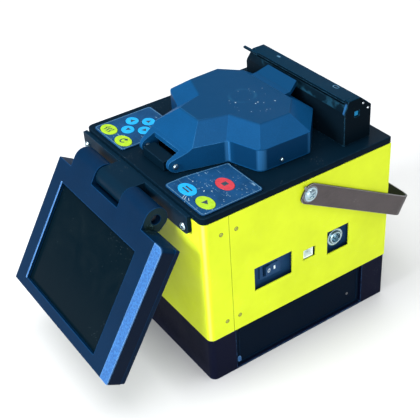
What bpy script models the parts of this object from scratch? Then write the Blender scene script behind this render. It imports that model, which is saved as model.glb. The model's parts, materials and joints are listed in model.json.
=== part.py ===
"""Fiber fusion splicer with a tilting monitor, a hinged wind cover, a tube heater and a carry handle.

Metres, +Z up. The origin is the centre of the base's underside, +X is the side with the switch and the
sockets, and -Y is the front, where the monitor hangs.
"""

import math

import bmesh
import bpy
from mathutils import Matrix, Vector

MM = 0.001
GAP = 0.3 * MM                      # clearance between neighbouring pieces

# Body
HALF_WIDTH = 80.7 * MM              # outer faces of the yellow panels
HALF_DEPTH = 85.0 * MM
BASE_HEIGHT = 39.5 * MM
DECK_TOP = 150.0 * MM
DECK_THICKNESS = 5.3 * MM
SHEET = 1.5 * MM                    # panel thickness
CORNER = 5.0 * MM                   # rounding of the two front corners
SEAM_Y = -63.3 * MM                 # joint between front cover and side panels
SEAM_GAP = 0.6 * MM
BASE_INSET = 0.4 * MM
FRAME_DEPTH = 19.0 * MM
FRAME_SHEET = 4.0 * MM

# Base tray and battery
TRAY_WALL = 2.0 * MM
TRAY_FLOOR = 1.2 * MM
BAY_FRONT = -62.0 * MM
BAY_REAR = 61.7 * MM
BAY_STOP = -52.0 * MM               # inner end of the battery bay
BATTERY_SETBACK = 1.8 * MM
BATTERY_PLAY = 0.7 * MM

# Windows in the right side panel: low Y, high Y, low Z, high Z
SWITCH_WINDOW = (-43.5 * MM, -9.0 * MM, 67.2 * MM, 88.4 * MM)
USB_WINDOW = (1.5 * MM, 13.4 * MM, 73.2 * MM, 82.9 * MM)
JACK_WINDOW = (24.6 * MM, 45.9 * MM, 67.6 * MM, 89.2 * MM)
PORT_PANEL_X = 73.0 * MM
JACK_CENTRE = (35.2 * MM, 78.2 * MM)
JACK_RADIUS = 5.4 * MM
JACK_BORE = 4.1 * MM
NUT_RADIUS = 7.3 * MM
SWITCH_CENTRE = (-26.25 * MM, 77.8 * MM)
SWITCH_BEZEL = (19.0 * MM, 13.6 * MM)
SWITCH_BODY = (15.6 * MM, 11.6 * MM)
ROCKER_SIZE = (12.8 * MM, 9.0 * MM)
ROCKER_X = 73.5 * MM
ROCKER_TILT = math.radians(8.0)

# Monitor, in its own upright frame: origin on the hinge axis, -Y out of the screen
HINGE_Y = -100.6 * MM
HINGE_Z = 139.0 * MM
MONITOR_TILT = math.radians(-30.9)
MONITOR_HALF_WIDTH = 75.2 * MM
MONITOR_FACE = -9.4 * MM
MONITOR_BACK = 6.9 * MM
MONITOR_TOP = -8.6 * MM
MONITOR_BOTTOM = -116.2 * MM
BEZEL_BACK = 2.4 * MM
KNUCKLE_RADIUS = 9.4 * MM
KNUCKLES = ((-56.4 * MM, -24.4 * MM), (13.8 * MM, 46.9 * MM))
WINDOW = (-59.6 * MM, 50.0 * MM, -107.6 * MM, -24.0 * MM)
GLASS_DEPTH = 2.8 * MM
GLASS_THICKNESS = 1.2 * MM
STRIP_WIDTH = 9.8 * MM
STRIP_THICKNESS = 1.2 * MM
PIN_RADIUS = 3.6 * MM
PIN_BORE = 3.85 * MM

# Monitor bracket
BRACKET_X = (-80.0 * MM, 67.8 * MM)
BRACKET_Z = (131.8 * MM, 147.2 * MM)
BRACKET_THICKNESS = 3.2 * MM
BRACKET_CORNER = 4.0 * MM
TONGUE_X = (-23.9 * MM, 13.3 * MM)
BARREL_RADIUS = 8.2 * MM
BRACKET_SCREWS = {"right": 62.6 * MM, "left": -74.5 * MM}
BRACKET_SCREW_Z = 137.4 * MM

# Keypads and keys
PAD_BOTTOM = DECK_TOP + GAP
PAD_TOP = DECK_TOP + 1.2 * MM
KEY_BOTTOM = DECK_TOP + 0.75 * MM
KEY_TOP = DECK_TOP + 1.55 * MM
OVAL_KEY = (8.8 * MM, 5.8 * MM)
ARROW_KEY = (5.9 * MM, 5.0 * MM)
ARROW_PAD = (-52.8 * MM, -54.0 * MM)
ARROW_SPREAD = 9.4 * MM

# Wind cover
COVER_BOTTOM = DECK_TOP + 0.6 * MM
COVER_WALL_TOP = 168.3 * MM
COVER_ROOF = 179.5 * MM
COVER_SKIN = 2.5 * MM
ROOF_INSET = 15.5 * MM              # plan distance from a wall to the roof edge above it
SIDE_FRONT = (59.5 * MM, -20.0 * MM)
SIDE_REAR = (61.0 * MM, 23.5 * MM)
TAIL = (36.0 * MM, 46.5 * MM)
NOSE_NECK = (33.0 * MM, -29.0 * MM)
NOSE_TIP = (20.3 * MM, -70.2 * MM)
NOSE_FRONT = -60.0 * MM
NOSE_SHOULDER = -57.0 * MM          # where the front slope turns into the top edge of the arms
ROOF_FRONT = -39.4 * MM
NOSE_INSET = 17.0 * MM
ARM_THICKNESS = 4.5 * MM
COVER_PIVOT = (-67.0 * MM, 156.0 * MM)
BOSS_RADIUS = 4.9 * MM
COVER_PIN_RADIUS = 1.6 * MM
LIP_ROOT = (21.0 * MM, 37.0 * MM)   # half width and Y where the lip leaves the roof
LIP_TIP = (17.0 * MM, 45.8 * MM)
LIP_RISE = 4.8 * MM
LIP_EDGE = 4.4 * MM

# Tube heater
HEATER_X = (-49.5 * MM, 69.8 * MM)
HEATER_Y = (48.0 * MM, 73.0 * MM)
HEATER_TOP = 186.2 * MM
HEATER_RIM = 176.8 * MM             # top of the rear wall
HEATER_SILL = 182.4 * MM            # top of the sloping front wall, just under the lid
HEATER_WALL = 2.5 * MM
HEATER_FRONT_WALL = 4.4 * MM
HEATER_END = (8.0 * MM, 3.5 * MM)   # left and right ends
HEATER_CREST = (51.4 * MM, 62.5 * MM)
HEATER_LID_FRONT = 50.2 * MM
SLEEVE_Y = 59.5 * MM                # centre of the heated groove
SLEEVE_SLOT = 4.6 * MM

# Carry handle
HANDLE_PIVOT = (6.2 * MM, 133.4 * MM)
HANDLE_ANGLE = math.radians(-29.1)
HANDLE_REACH = 116.0 * MM
HANDLE_HALF_WIDTH = 8.3 * MM
HANDLE_BEND = 13.0 * MM
STRAP = 1.6 * MM
HANDLE_TAIL = 6.2 * MM
HANDLE_BORE = 3.3 * MM

# Splicing unit under the cover
WELL = (-46.0 * MM, 46.0 * MM, -16.0 * MM, 32.0 * MM)
SPLICE_Y = 9.0 * MM
FIBRE_Z = 157.0 * MM
STAGE_X = (13.0 * MM, 41.0 * MM)
STAGE_TOP = 156.0 * MM

SIDES = {"right": 1, "left": -1}
FACING = {
    "X": (math.pi / 2, 0.0, math.pi / 2),
    "Y": (math.pi / 2, 0.0, 0.0),
    "Z": (0.0, 0.0, 0.0),
}
AXIS = {"X": Vector((1, 0, 0)), "Y": Vector((0, 1, 0)), "Z": Vector((0, 0, 1))}


# ---------------------------------------------------------------- scene and materials

def clear_scene():
    for obj in list(bpy.data.objects):
        bpy.data.objects.remove(obj, do_unlink=True)


def new_collection(name):
    collection = bpy.data.collections.new(name)
    bpy.context.scene.collection.children.link(collection)
    return collection


clear_scene()
PARTS = new_collection("fusion_splicer")
CUTTERS = new_collection("cutters")


def linear(channel):
    value = channel / 255.0
    return value / 12.92 if value <= 0.04045 else ((value + 0.055) / 1.055) ** 2.4


def paint(name, red, green, blue, roughness, metallic=0.0):
    """Principled material from an 8-bit display colour."""
    material = bpy.data.materials.new(name)
    material.use_nodes = True
    shader = material.node_tree.nodes["Principled BSDF"]
    colour = (linear(red), linear(green), linear(blue), 1.0)
    shader.inputs["Base Color"].default_value = colour
    shader.inputs["Roughness"].default_value = roughness
    shader.inputs["Metallic"].default_value = metallic
    material.diffuse_color = colour
    return material


YELLOW = paint("yellow_paint", 226, 245, 40, 0.45)
BLACK = paint("black_paint", 20, 24, 34, 0.5)
COVER_BLUE = paint("cover_plastic", 32, 62, 98, 0.42)
MONITOR_BLUE = paint("monitor_plastic", 26, 44, 72, 0.45)
STRIP_BLUE = paint("strip_plastic", 84, 140, 206, 0.6)
SCREEN = paint("screen_glass", 6, 9, 14, 0.15)
MEMBRANE = paint("keypad_film", 24, 60, 100, 0.3)
KEY_YELLOW = paint("key_yellow_green", 190, 214, 60, 0.4)
KEY_CYAN = paint("key_light_blue", 84, 190, 226, 0.4)
KEY_RED = paint("key_red", 214, 84, 92, 0.4)
CHROME = paint("chrome", 205, 212, 220, 0.2, 1.0)
STEEL = paint("steel", 150, 150, 155, 0.35, 1.0)
ALUMINIUM = paint("aluminium", 180, 184, 190, 0.4, 1.0)
STRAP_PAINT = paint("strap_paint", 104, 92, 92, 0.5)
SOCKET_WHITE = paint("socket_plastic", 214, 228, 220, 0.5)
BOARD = paint("circuit_board", 20, 80, 50, 0.5)
CERAMIC = paint("ceramic", 220, 216, 205, 0.4)
BATTERY_BLACK = paint("battery_plastic", 22, 34, 50, 0.5)


# ---------------------------------------------------------------- shape helpers

def rounded(corners, segments=6):
    """Outline from (a, b, radius) corners, with an arc in place of each rounded corner."""
    outline = []
    count = len(corners)
    for index, (a, b, radius) in enumerate(corners):
        here = Vector((a, b))
        if radius <= 0.0:
            outline.append(here)
            continue
        before = (Vector(corners[index - 1][:2]) - here).normalized()
        after = (Vector(corners[(index + 1) % count][:2]) - here).normalized()
        half = before.angle(after) / 2
        centre = here + (before + after).normalized() * radius / math.sin(half)
        start = here + before * radius / math.tan(half) - centre
        turn = (here + after * radius / math.tan(half) - centre).angle_signed(start)
        for step in range(segments + 1):
            outline.append(centre + Matrix.Rotation(turn * step / segments, 2) @ start)
    return outline


def rectangle(low_a, high_a, low_b, high_b, radius=0.0):
    corners = ((low_a, low_b), (high_a, low_b), (high_a, high_b), (low_a, high_b))
    return rounded([(a, b, radius) for a, b in corners])


def ellipse(centre_a, centre_b, radius_a, radius_b, segments=32):
    turns = [2 * math.pi * step / segments for step in range(segments)]
    return [Vector((centre_a + radius_a * math.cos(t), centre_b + radius_b * math.sin(t))) for t in turns]


def arc(centre_a, centre_b, radius, start, end, segments=8):
    """Points on a circle from angle start to angle end, in degrees."""
    turns = [math.radians(start + (end - start) * step / segments) for step in range(segments + 1)]
    return [Vector((centre_a + radius * math.cos(t), centre_b + radius * math.sin(t))) for t in turns]


def place(obj, material, collection=None):
    (collection or PARTS).objects.link(obj)
    if material:
        obj.data.materials.clear()
        obj.data.materials.append(material)
    return obj


def sheet(name, outline, span, facing, material=None, holes=()):
    """Outline with holes, extruded between two heights on the facing axis.

    The outline holds (x, y) for facing Z, (y, z) for facing X and (x, z) for facing Y.
    """
    curve = bpy.data.curves.new(name, "CURVE")
    curve.dimensions = "2D"
    curve.fill_mode = "BOTH"
    curve.extrude = (span[1] - span[0]) / 2
    for loop in (outline, *holes):
        spline = curve.splines.new("POLY")
        spline.points.add(len(loop) - 1)
        for point, corner in zip(spline.points, loop):
            point.co = (corner[0], corner[1], 0.0, 1.0)
        spline.use_cyclic_u = True
    source = bpy.data.objects.new(name + "_outline", curve)
    bpy.context.scene.collection.objects.link(source)
    graph = bpy.context.evaluated_depsgraph_get()
    mesh = bpy.data.meshes.new_from_object(source.evaluated_get(graph))
    bpy.data.objects.remove(source)
    bm = bmesh.new()
    bm.from_mesh(mesh)
    bmesh.ops.remove_doubles(bm, verts=bm.verts, dist=0.001 * MM)
    bmesh.ops.dissolve_limit(bm, angle_limit=math.radians(0.1), verts=bm.verts, edges=bm.edges)
    bmesh.ops.recalc_face_normals(bm, faces=bm.faces)
    bm.to_mesh(mesh)
    bm.free()
    obj = place(bpy.data.objects.new(name, mesh), material, None if material else CUTTERS)
    obj.rotation_euler = FACING[facing]
    obj.location = AXIS[facing] * (span[0] + span[1]) / 2
    return obj


def box(name, x, y, z, material=None, bevel=0.0):
    """Box between two values on each axis, with its edges rounded by a bevel."""
    mesh = bpy.data.meshes.new(name)
    bm = bmesh.new()
    bmesh.ops.create_cube(bm, size=1.0)
    bmesh.ops.scale(bm, vec=(x[1] - x[0], y[1] - y[0], z[1] - z[0]), verts=bm.verts)
    bm.to_mesh(mesh)
    bm.free()
    obj = place(bpy.data.objects.new(name, mesh), material, None if material else CUTTERS)
    obj.location = ((x[0] + x[1]) / 2, (y[0] + y[1]) / 2, (z[0] + z[1]) / 2)
    if bevel:
        soften(obj, bevel)
    return obj


def soften(obj, width, segments=2):
    modifier = obj.modifiers.new("soften", "BEVEL")
    modifier.width = width
    modifier.segments = segments
    modifier.limit_method = "ANGLE"
    modifier.angle_limit = math.radians(40)


def round_edges(obj, chosen, width, segments=3):
    """Bevel the edges of a mesh that the chosen test accepts, given their two ends."""
    bm = bmesh.new()
    bm.from_mesh(obj.data)
    edges = [edge for edge in bm.edges if chosen(edge.verts[0].co, edge.verts[1].co)]
    bmesh.ops.bevel(bm, geom=edges, offset=width, segments=segments, profile=0.5, affect="EDGES")
    bm.to_mesh(obj.data)
    bm.free()


def rod(name, radius, span, centre, facing, material=None, segments=32):
    """Cylinder along an axis; centre holds its two other coordinates."""
    return sheet(name, ellipse(centre[0], centre[1], radius, radius, segments), span, facing, material)


def turned(name, profile, location, facing, material, segments=32):
    """Turned solid from (radius, height) points that run down its outer side."""
    mesh = bpy.data.meshes.new(name)
    points = [(radius, 0.0, height) for radius, height in profile]
    mesh.from_pydata(points, [(i, i + 1) for i in range(len(points) - 1)], [])
    obj = place(bpy.data.objects.new(name, mesh), material)
    screw = obj.modifiers.new("turn", "SCREW")
    screw.steps = segments
    screw.render_steps = segments
    screw.use_merge_vertices = True
    screw.merge_threshold = 0.001 * MM
    obj.location = location
    obj.rotation_euler = AXIS["Z"].rotation_difference(facing).to_euler()
    return obj


def boolean(obj, other, operation="DIFFERENCE"):
    modifier = obj.modifiers.new(operation.lower(), "BOOLEAN")
    modifier.operation = operation
    modifier.object = other
    other.hide_render = True
    other.display_type = "WIRE"


def pivot(name, location, tilt=0.0):
    empty = bpy.data.objects.new(name, None)
    empty.empty_display_size = 0.01
    empty.location = location
    empty.rotation_euler = (tilt, 0.0, 0.0)
    PARTS.objects.link(empty)
    return empty


def hang(empty, *objects):
    """Parent objects modelled in the world to an empty, leaving them where they are."""
    for obj in objects:
        obj.parent = empty
        obj.location = obj.location - empty.location


def mount(empty, *objects):
    """Parent objects modelled in an empty's own frame to that empty."""
    for obj in objects:
        obj.parent = empty


# ---------------------------------------------------------------- base and body

def build_base():
    half_x = HALF_WIDTH - BASE_INSET
    half_y = HALF_DEPTH - BASE_INSET
    corners = ((-half_x, -half_y, CORNER), (half_x, -half_y, CORNER), (half_x, half_y, 1 * MM),
               (-half_x, half_y, 1 * MM))
    tray = sheet("base_tray", rounded(corners), (0.0, BASE_HEIGHT), "Z", BLACK)
    inner_x = half_x - TRAY_WALL
    inner_y = half_y - TRAY_WALL
    above = (TRAY_FLOOR, BASE_HEIGHT + 5 * MM)
    pockets = {
        "bay": ((BAY_STOP, half_x + 5 * MM), (BAY_FRONT, BAY_REAR)),
        "front": ((-inner_x, inner_x), (-inner_y, BAY_FRONT - TRAY_WALL)),
        "rear": ((-inner_x, inner_x), (BAY_REAR + TRAY_WALL, inner_y)),
        "left": ((-inner_x, BAY_STOP - TRAY_WALL), (BAY_FRONT, BAY_REAR)),
    }
    for name, (x, y) in pockets.items():
        boolean(tray, box("cut_tray_" + name, x, y, above))
    battery = box("battery_pack",
                  (BAY_STOP + 2 * MM, half_x - BATTERY_SETBACK),
                  (BAY_FRONT + BATTERY_PLAY, BAY_REAR - BATTERY_PLAY),
                  (TRAY_FLOOR + GAP, BASE_HEIGHT - BATTERY_PLAY),
                  BATTERY_BLACK, 1 * MM)
    hang(pivot("battery_slide", (BAY_STOP, 0.0, TRAY_FLOOR)), battery)


def build_body():
    bottom = BASE_HEIGHT + GAP
    top = DECK_TOP - DECK_THICKNESS - GAP
    inner = HALF_WIDTH - SHEET
    wrap = ((-HALF_WIDTH, SEAM_Y - SEAM_GAP / 2, 0), (-HALF_WIDTH, -HALF_DEPTH, CORNER),
            (HALF_WIDTH, -HALF_DEPTH, CORNER), (HALF_WIDTH, SEAM_Y - SEAM_GAP / 2, 0),
            (inner, SEAM_Y - SEAM_GAP / 2, 0), (inner, SHEET - HALF_DEPTH, CORNER - SHEET),
            (-inner, SHEET - HALF_DEPTH, CORNER - SHEET), (-inner, SEAM_Y - SEAM_GAP / 2, 0))
    sheet("front_cover", rounded(wrap), (bottom, top), "Z", YELLOW)

    panel = rectangle(SEAM_Y + SEAM_GAP / 2, HALF_DEPTH, bottom, top)
    pivot_hole = ellipse(*HANDLE_PIVOT, HANDLE_BORE, HANDLE_BORE, 24)
    windows = [rectangle(*window) for window in (SWITCH_WINDOW, USB_WINDOW, JACK_WINDOW)]
    sheet("side_panel_right", panel, (inner, HALF_WIDTH), "X", YELLOW, [pivot_hole, *windows])
    sheet("side_panel_left", panel, (-HALF_WIDTH, -inner), "X", YELLOW, [pivot_hole])
    rear = rectangle(GAP - inner, inner - GAP, bottom, top)
    sheet("rear_panel", rear, (HALF_DEPTH - GAP - SHEET, HALF_DEPTH - GAP), "Y", YELLOW)

    deck_corners = ((-HALF_WIDTH, -HALF_DEPTH, CORNER), (HALF_WIDTH, -HALF_DEPTH, CORNER),
                    (HALF_WIDTH, HALF_DEPTH, 1.5 * MM), (-HALF_WIDTH, HALF_DEPTH, 1.5 * MM))
    well = rectangle(*WELL, 3 * MM)
    deck = sheet("top_deck", rounded(deck_corners), (DECK_TOP - DECK_THICKNESS, DECK_TOP), "Z", BLACK, [well])
    soften(deck, 0.6 * MM)


def build_chassis():
    floor_z = BASE_HEIGHT + GAP
    floor_top = floor_z + SHEET
    half_x = HALF_WIDTH - SHEET - 2 * GAP
    half_y = HALF_DEPTH - SHEET - 2 * GAP
    corners = ((-half_x, -half_y, CORNER), (half_x, -half_y, CORNER),
               (half_x, half_y, 0), (-half_x, half_y, 0))
    floor = sheet("chassis_floor", rounded(corners), (floor_z, floor_top), "Z", STEEL)
    board_z = floor_top + 7 * MM
    board_half = (58 * MM, 46 * MM)
    for x in (-1, 1):
        for y in (-1, 1):
            centre = (x * (board_half[0] - 5 * MM), y * (board_half[1] - 5 * MM))
            post = rod("join_floor_post", 3 * MM, (floor_z + SHEET / 2, board_z - GAP), centre, "Z", None, 12)
            boolean(floor, post, "UNION")
    box("mainboard", (-board_half[0], board_half[0]), (-board_half[1], board_half[1]),
        (board_z, board_z + 1.6 * MM), BOARD)
    box("high_voltage_module", (-44 * MM, -4 * MM), (-30 * MM, 22 * MM),
        (board_z + 1.6 * MM + GAP, board_z + 28 * MM), BATTERY_BLACK, 1 * MM)

    frame_top = DECK_TOP - DECK_THICKNESS - GAP
    portal = ((-half_x, floor_top + GAP), (-half_x, frame_top),
              (half_x, frame_top), (half_x, floor_top + GAP),
              (half_x - FRAME_SHEET, floor_top + GAP), (half_x - FRAME_SHEET, frame_top - FRAME_SHEET),
              (FRAME_SHEET - half_x, frame_top - FRAME_SHEET), (FRAME_SHEET - half_x, floor_top + GAP))
    for name, centre in (("front", SEAM_Y), ("rear", HALF_DEPTH - FRAME_DEPTH)):
        sheet("inner_frame_" + name, portal, (centre - FRAME_DEPTH / 2, centre + FRAME_DEPTH / 2), "Y", STEEL)
    box("power_board", (60.0 * MM, 61.6 * MM), (-48 * MM, 50 * MM), (floor_top + GAP, 100 * MM), BOARD)


# ---------------------------------------------------------------- right side ports

def centred(centre, size, margin=0.0):
    """Low and high Y, low and high Z of a rectangle round a centre."""
    return (centre[0] - size[0] / 2 - margin, centre[0] + size[0] / 2 + margin,
            centre[1] - size[1] / 2 - margin, centre[1] + size[1] / 2 + margin)


def build_ports():
    floor_top = BASE_HEIGHT + GAP + SHEET
    plate = (PORT_PANEL_X, PORT_PANEL_X + SHEET)
    usb_y = (3.0 * MM, 12.0 * MM)
    usb_z = (73.6 * MM, 82.5 * MM)
    holes = [
        rectangle(*centred(SWITCH_CENTRE, SWITCH_BODY, GAP)),
        rectangle(usb_y[0] - GAP, usb_y[1] + GAP, usb_z[0] - GAP, usb_z[1] + GAP),
        ellipse(*JACK_CENTRE, JACK_RADIUS + GAP, JACK_RADIUS + GAP),
    ]
    panel = rectangle(-52 * MM, 54 * MM, floor_top + GAP, 100 * MM)
    sheet("port_panel", panel, plate, "X", BLACK, holes)

    bezel = centred(SWITCH_CENTRE, SWITCH_BEZEL)
    housing = box("switch_housing", (plate[1] + GAP, plate[1] + 1.9 * MM), bezel[:2], bezel[2:], BLACK)
    body = centred(SWITCH_CENTRE, SWITCH_BODY)
    boolean(housing, box("join_switch_body", (62.5 * MM, plate[1] + 1 * MM), body[:2], body[2:]), "UNION")
    well = centred(SWITCH_CENTRE, ROCKER_SIZE, 0.35 * MM)
    boolean(housing, box("cut_switch_well", (66 * MM, 85 * MM), well[:2], well[2:]))
    build_rocker()

    socket = box("usb_socket", (69 * MM, 79 * MM), usb_y, usb_z, SOCKET_WHITE)
    boolean(socket, box("cut_usb", (71 * MM, 85 * MM), (usb_y[0] + 1 * MM, usb_y[1] - 1 * MM),
                        (usb_z[0] + 1 * MM, usb_z[1] - 1 * MM)))

    centre = Vector((0.0, *JACK_CENTRE))
    barrel = ((0, 3 * MM), (JACK_BORE, 3 * MM), (JACK_BORE, 8.6 * MM), (JACK_RADIUS - 0.4 * MM, 8.6 * MM),
              (JACK_RADIUS, 8.2 * MM), (JACK_RADIUS, 0), (0, 0))
    turned("dc_jack", barrel, centre + AXIS["X"] * 70 * MM, AXIS["X"], CHROME)
    nut_x = (plate[1] + GAP, plate[1] + GAP + 2.4 * MM)
    bore = ellipse(*JACK_CENTRE, JACK_RADIUS + 0.2 * MM, JACK_RADIUS + 0.2 * MM)
    sheet("dc_jack_nut", ellipse(*JACK_CENTRE, NUT_RADIUS, NUT_RADIUS), nut_x, "X", CHROME, [bore])


def build_rocker():
    """Rocker with a shallow V face, tipped to one of its two resting positions."""
    axis = pivot("rocker_axis", (ROCKER_X, *SWITCH_CENTRE))
    axis.rotation_euler = (0.0, 0.0, ROCKER_TILT)
    half = ROCKER_SIZE[0] / 2 - 0.3 * MM
    face = ((-1 * MM, -half + 1.5 * MM), (4.6 * MM, -half), (3.5 * MM, 0.0), (4.6 * MM, half),
            (-1 * MM, half - 1.5 * MM))
    button = sheet("rocker_button", face, (-ROCKER_SIZE[1] / 2, ROCKER_SIZE[1] / 2), "Z", BLACK)
    soften(button, 0.4 * MM)
    mount(axis, button)


# ---------------------------------------------------------------- monitor

def build_monitor():
    hinge = pivot("monitor_hinge", (0.0, HINGE_Y, HINGE_Z), MONITOR_TILT)
    half = MONITOR_HALF_WIDTH
    slab = ((-half, MONITOR_BOTTOM, 1 * MM), (half, MONITOR_BOTTOM, 1 * MM), (half, MONITOR_TOP, 4 * MM),
            (-half, MONITOR_TOP, 1 * MM))
    bezel = sheet("monitor_bezel", rounded(slab, 4), (MONITOR_FACE, BEZEL_BACK), "Y", MONITOR_BLUE)
    front = (BEZEL_BACK - MONITOR_FACE) / 2
    round_edges(bezel, lambda a, b: min(a.z, b.z) > front - GAP and min(a.y, b.y) < MONITOR_TOP - 0.1 * MM,
                0.5 * MM, 2)
    knuckle = [Vector((MONITOR_FACE, MONITOR_TOP - 3 * MM))]
    knuckle += arc(0, 0, KNUCKLE_RADIUS, 180, -18, 14)
    knuckle += [Vector((MONITOR_BACK, MONITOR_TOP)), Vector((BEZEL_BACK - 1 * MM, MONITOR_TOP)),
                Vector((BEZEL_BACK - 1 * MM, MONITOR_TOP - 3 * MM))]
    fittings = []
    for index, span in enumerate(KNUCKLES):
        lug = sheet("join_knuckle_%d" % index, knuckle, span, "X")
        boolean(bezel, lug, "UNION")
        fittings.append(lug)

    pocket = box("cut_bezel_pocket", (-half + 2.5 * MM, half - 2.5 * MM),
                 (MONITOR_FACE + GLASS_DEPTH - GAP, BEZEL_BACK + 5 * MM),
                 (MONITOR_BOTTOM + 2.5 * MM, MONITOR_TOP - 3.5 * MM))
    window = sheet("cut_bezel_window", rectangle(*WINDOW, 0.5 * MM), (MONITOR_FACE - 5 * MM, 0.0), "Y")
    rebate = box("cut_strip_rebate", (half - STRIP_WIDTH - 0.2 * MM, half + 5 * MM),
                 (MONITOR_FACE - 5 * MM, MONITOR_FACE + STRIP_THICKNESS + 0.2 * MM),
                 (MONITOR_BOTTOM - 5 * MM, MONITOR_TOP + 5 * MM))
    bore = rod("cut_bezel_bore", PIN_BORE, (KNUCKLES[0][0] + 5 * MM, KNUCKLES[1][1] + 5 * MM), (0, 0), "X")
    for cutter in (pocket, window, rebate, bore):
        boolean(bezel, cutter)

    strip = ((half - STRIP_WIDTH, MONITOR_BOTTOM + GAP, 0), (half, MONITOR_BOTTOM + GAP, 1 * MM),
             (half, MONITOR_TOP - GAP, 4 * MM), (half - STRIP_WIDTH, MONITOR_TOP - GAP, 0))
    trim_y = (MONITOR_FACE - 0.1 * MM, MONITOR_FACE + STRIP_THICKNESS - GAP)
    trim = sheet("monitor_strip", rounded(strip, 4), trim_y, "Y", STRIP_BLUE)

    inset = 2.0 * MM
    view_x = (WINDOW[0] - inset, WINDOW[1] + inset)
    view_z = (WINDOW[2] - inset, WINDOW[3] + inset)
    glass_y = (MONITOR_FACE + GLASS_DEPTH, MONITOR_FACE + GLASS_DEPTH + GLASS_THICKNESS)
    glass = box("screen_window", view_x, glass_y, view_z, SCREEN)
    panel = box("lcd_panel", view_x, (glass_y[1] + GAP, glass_y[1] + GAP + 4 * MM), view_z, BLACK, 0.4 * MM)
    back_plate = rectangle(GAP - half, half - GAP, MONITOR_BOTTOM + GAP, MONITOR_TOP - GAP, 1 * MM)
    back = sheet("monitor_back", back_plate, (BEZEL_BACK + GAP, MONITOR_BACK), "Y", MONITOR_BLUE)
    rear = (BEZEL_BACK + GAP - MONITOR_BACK) / 2
    round_edges(back, lambda a, b: max(a.z, b.z) < rear + GAP, 1.2 * MM, 2)
    mount(hinge, bezel, trim, glass, panel, back, pocket, window, rebate, bore, *fittings)


def build_bracket():
    front = -HALF_DEPTH - GAP
    left, right = BRACKET_X
    low, high = BRACKET_Z
    flange = rounded(((left, low, BRACKET_CORNER), (right, low, BRACKET_CORNER), (right, high, 1 * MM),
                      (left, high, 1 * MM)))
    shank = 1.7 * MM
    holes = [ellipse(x, BRACKET_SCREW_Z, shank, shank, 16) for x in BRACKET_SCREWS.values()]
    bracket = sheet("monitor_bracket", flange, (front - BRACKET_THICKNESS, front), "Y", BLACK, holes)
    tongue = [Vector((front - 1 * MM, low + 0.1 * MM)), Vector((front - 1 * MM, high))]
    tongue += arc(HINGE_Y, HINGE_Z, BARREL_RADIUS, 90, 270, 16)
    boolean(bracket, sheet("join_tongue", tongue, TONGUE_X, "X"), "UNION")
    boolean(bracket, rod("cut_bracket_bore", PIN_BORE, (-60 * MM, 60 * MM), (HINGE_Y, HINGE_Z), "X"))
    rod("monitor_hinge_pin", PIN_RADIUS, (KNUCKLES[0][0] + 6 * MM, KNUCKLES[1][1] - 5 * MM),
        (HINGE_Y, HINGE_Z), "X", STEEL)
    head = front - BRACKET_THICKNESS - GAP
    profile = ((0, 1.7 * MM), (1.6 * MM, 1.6 * MM), (2.6 * MM, 1.0 * MM), (2.9 * MM, 0.4 * MM), (2.9 * MM, 0),
               (1.3 * MM, 0), (1.3 * MM, -3.2 * MM), (0, -3.2 * MM))
    for side, x in BRACKET_SCREWS.items():
        turned("bracket_screw_" + side, profile, Vector((x, head, BRACKET_SCREW_Z)), -AXIS["Y"], CHROME, 20)


# ---------------------------------------------------------------- keypads

def flank(y, offset):
    """Distance from the middle of the deck to the cover's nose wall at y, moved out by an offset."""
    slope = (NOSE_NECK[0] - NOSE_TIP[0]) / (NOSE_NECK[1] - NOSE_TIP[1])
    return NOSE_TIP[0] + slope * (y - NOSE_TIP[1]) + offset


def build_keypads():
    front = -82.0 * MM
    outer = {"right": 77.8 * MM, "left": 73.5 * MM}
    rear = -31.0 * MM
    notch = -66.0 * MM
    keys = {
        "right": {
            "key_menu": (45.1 * MM, -72.6 * MM, OVAL_KEY, KEY_CYAN),
            "key_stop": (56.0 * MM, -48.5 * MM, OVAL_KEY, KEY_RED),
            "key_start": (66.3 * MM, -71.8 * MM, OVAL_KEY, KEY_YELLOW),
        },
        "left": {
            "key_heat": (-62.6 * MM, -74.6 * MM, OVAL_KEY, KEY_YELLOW),
            "key_reset": (-40.4 * MM, -74.6 * MM, OVAL_KEY, KEY_YELLOW),
        },
    }
    for number, (across, along) in enumerate(((-1, 0), (0, -1), (0, 1), (1, 0))):
        x = ARROW_PAD[0] + across * ARROW_SPREAD
        y = ARROW_PAD[1] + along * ARROW_SPREAD
        keys["left"]["key_arrow_%d" % (number + 1)] = (x, y, ARROW_KEY, KEY_CYAN)
    for side, sign in SIDES.items():
        corners = ((sign * 29.5 * MM, front, 3 * MM), (sign * outer[side], front, 3 * MM),
                   (sign * outer[side], rear, 3 * MM), (sign * flank(rear, 2.5 * MM), rear, 1 * MM),
                   (sign * 29.5 * MM, notch, 0))
        holes = []
        for name, (x, y, radii, colour) in keys[side].items():
            holes.append(ellipse(x, y, radii[0] + GAP, radii[1] + GAP, 28))
            key = sheet(name, ellipse(x, y, *radii, 28), (KEY_BOTTOM, KEY_TOP), "Z", colour)
            soften(key, 0.25 * MM)
            hang(pivot(name + "_axis", (x, y, KEY_BOTTOM)), key)
        sheet("keypad_" + side, rounded(corners), (PAD_BOTTOM, PAD_TOP), "Z", MEMBRANE, holes)


# ---------------------------------------------------------------- wind cover

def shaved(name, outline, top, slopes, material=None):
    """Prism standing on the cover's lower edge, shaved off along sloping planes (point, normal)."""
    obj = sheet(name, outline, (COVER_BOTTOM, top), "Z", material)
    middle = obj.location
    bm = bmesh.new()
    bm.from_mesh(obj.data)
    for point, normal in slopes:
        everything = bm.verts[:] + bm.edges[:] + bm.faces[:]
        cut = bmesh.ops.bisect_plane(bm, geom=everything, plane_co=point - middle, plane_no=normal,
                                     clear_outer=True)
        rim = [item for item in cut["geom_cut"] if isinstance(item, bmesh.types.BMEdge)]
        if rim:
            bmesh.ops.contextual_create(bm, geom=rim)
    bmesh.ops.recalc_face_normals(bm, faces=bm.faces)
    bm.to_mesh(obj.data)
    bm.free()
    return obj


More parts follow.
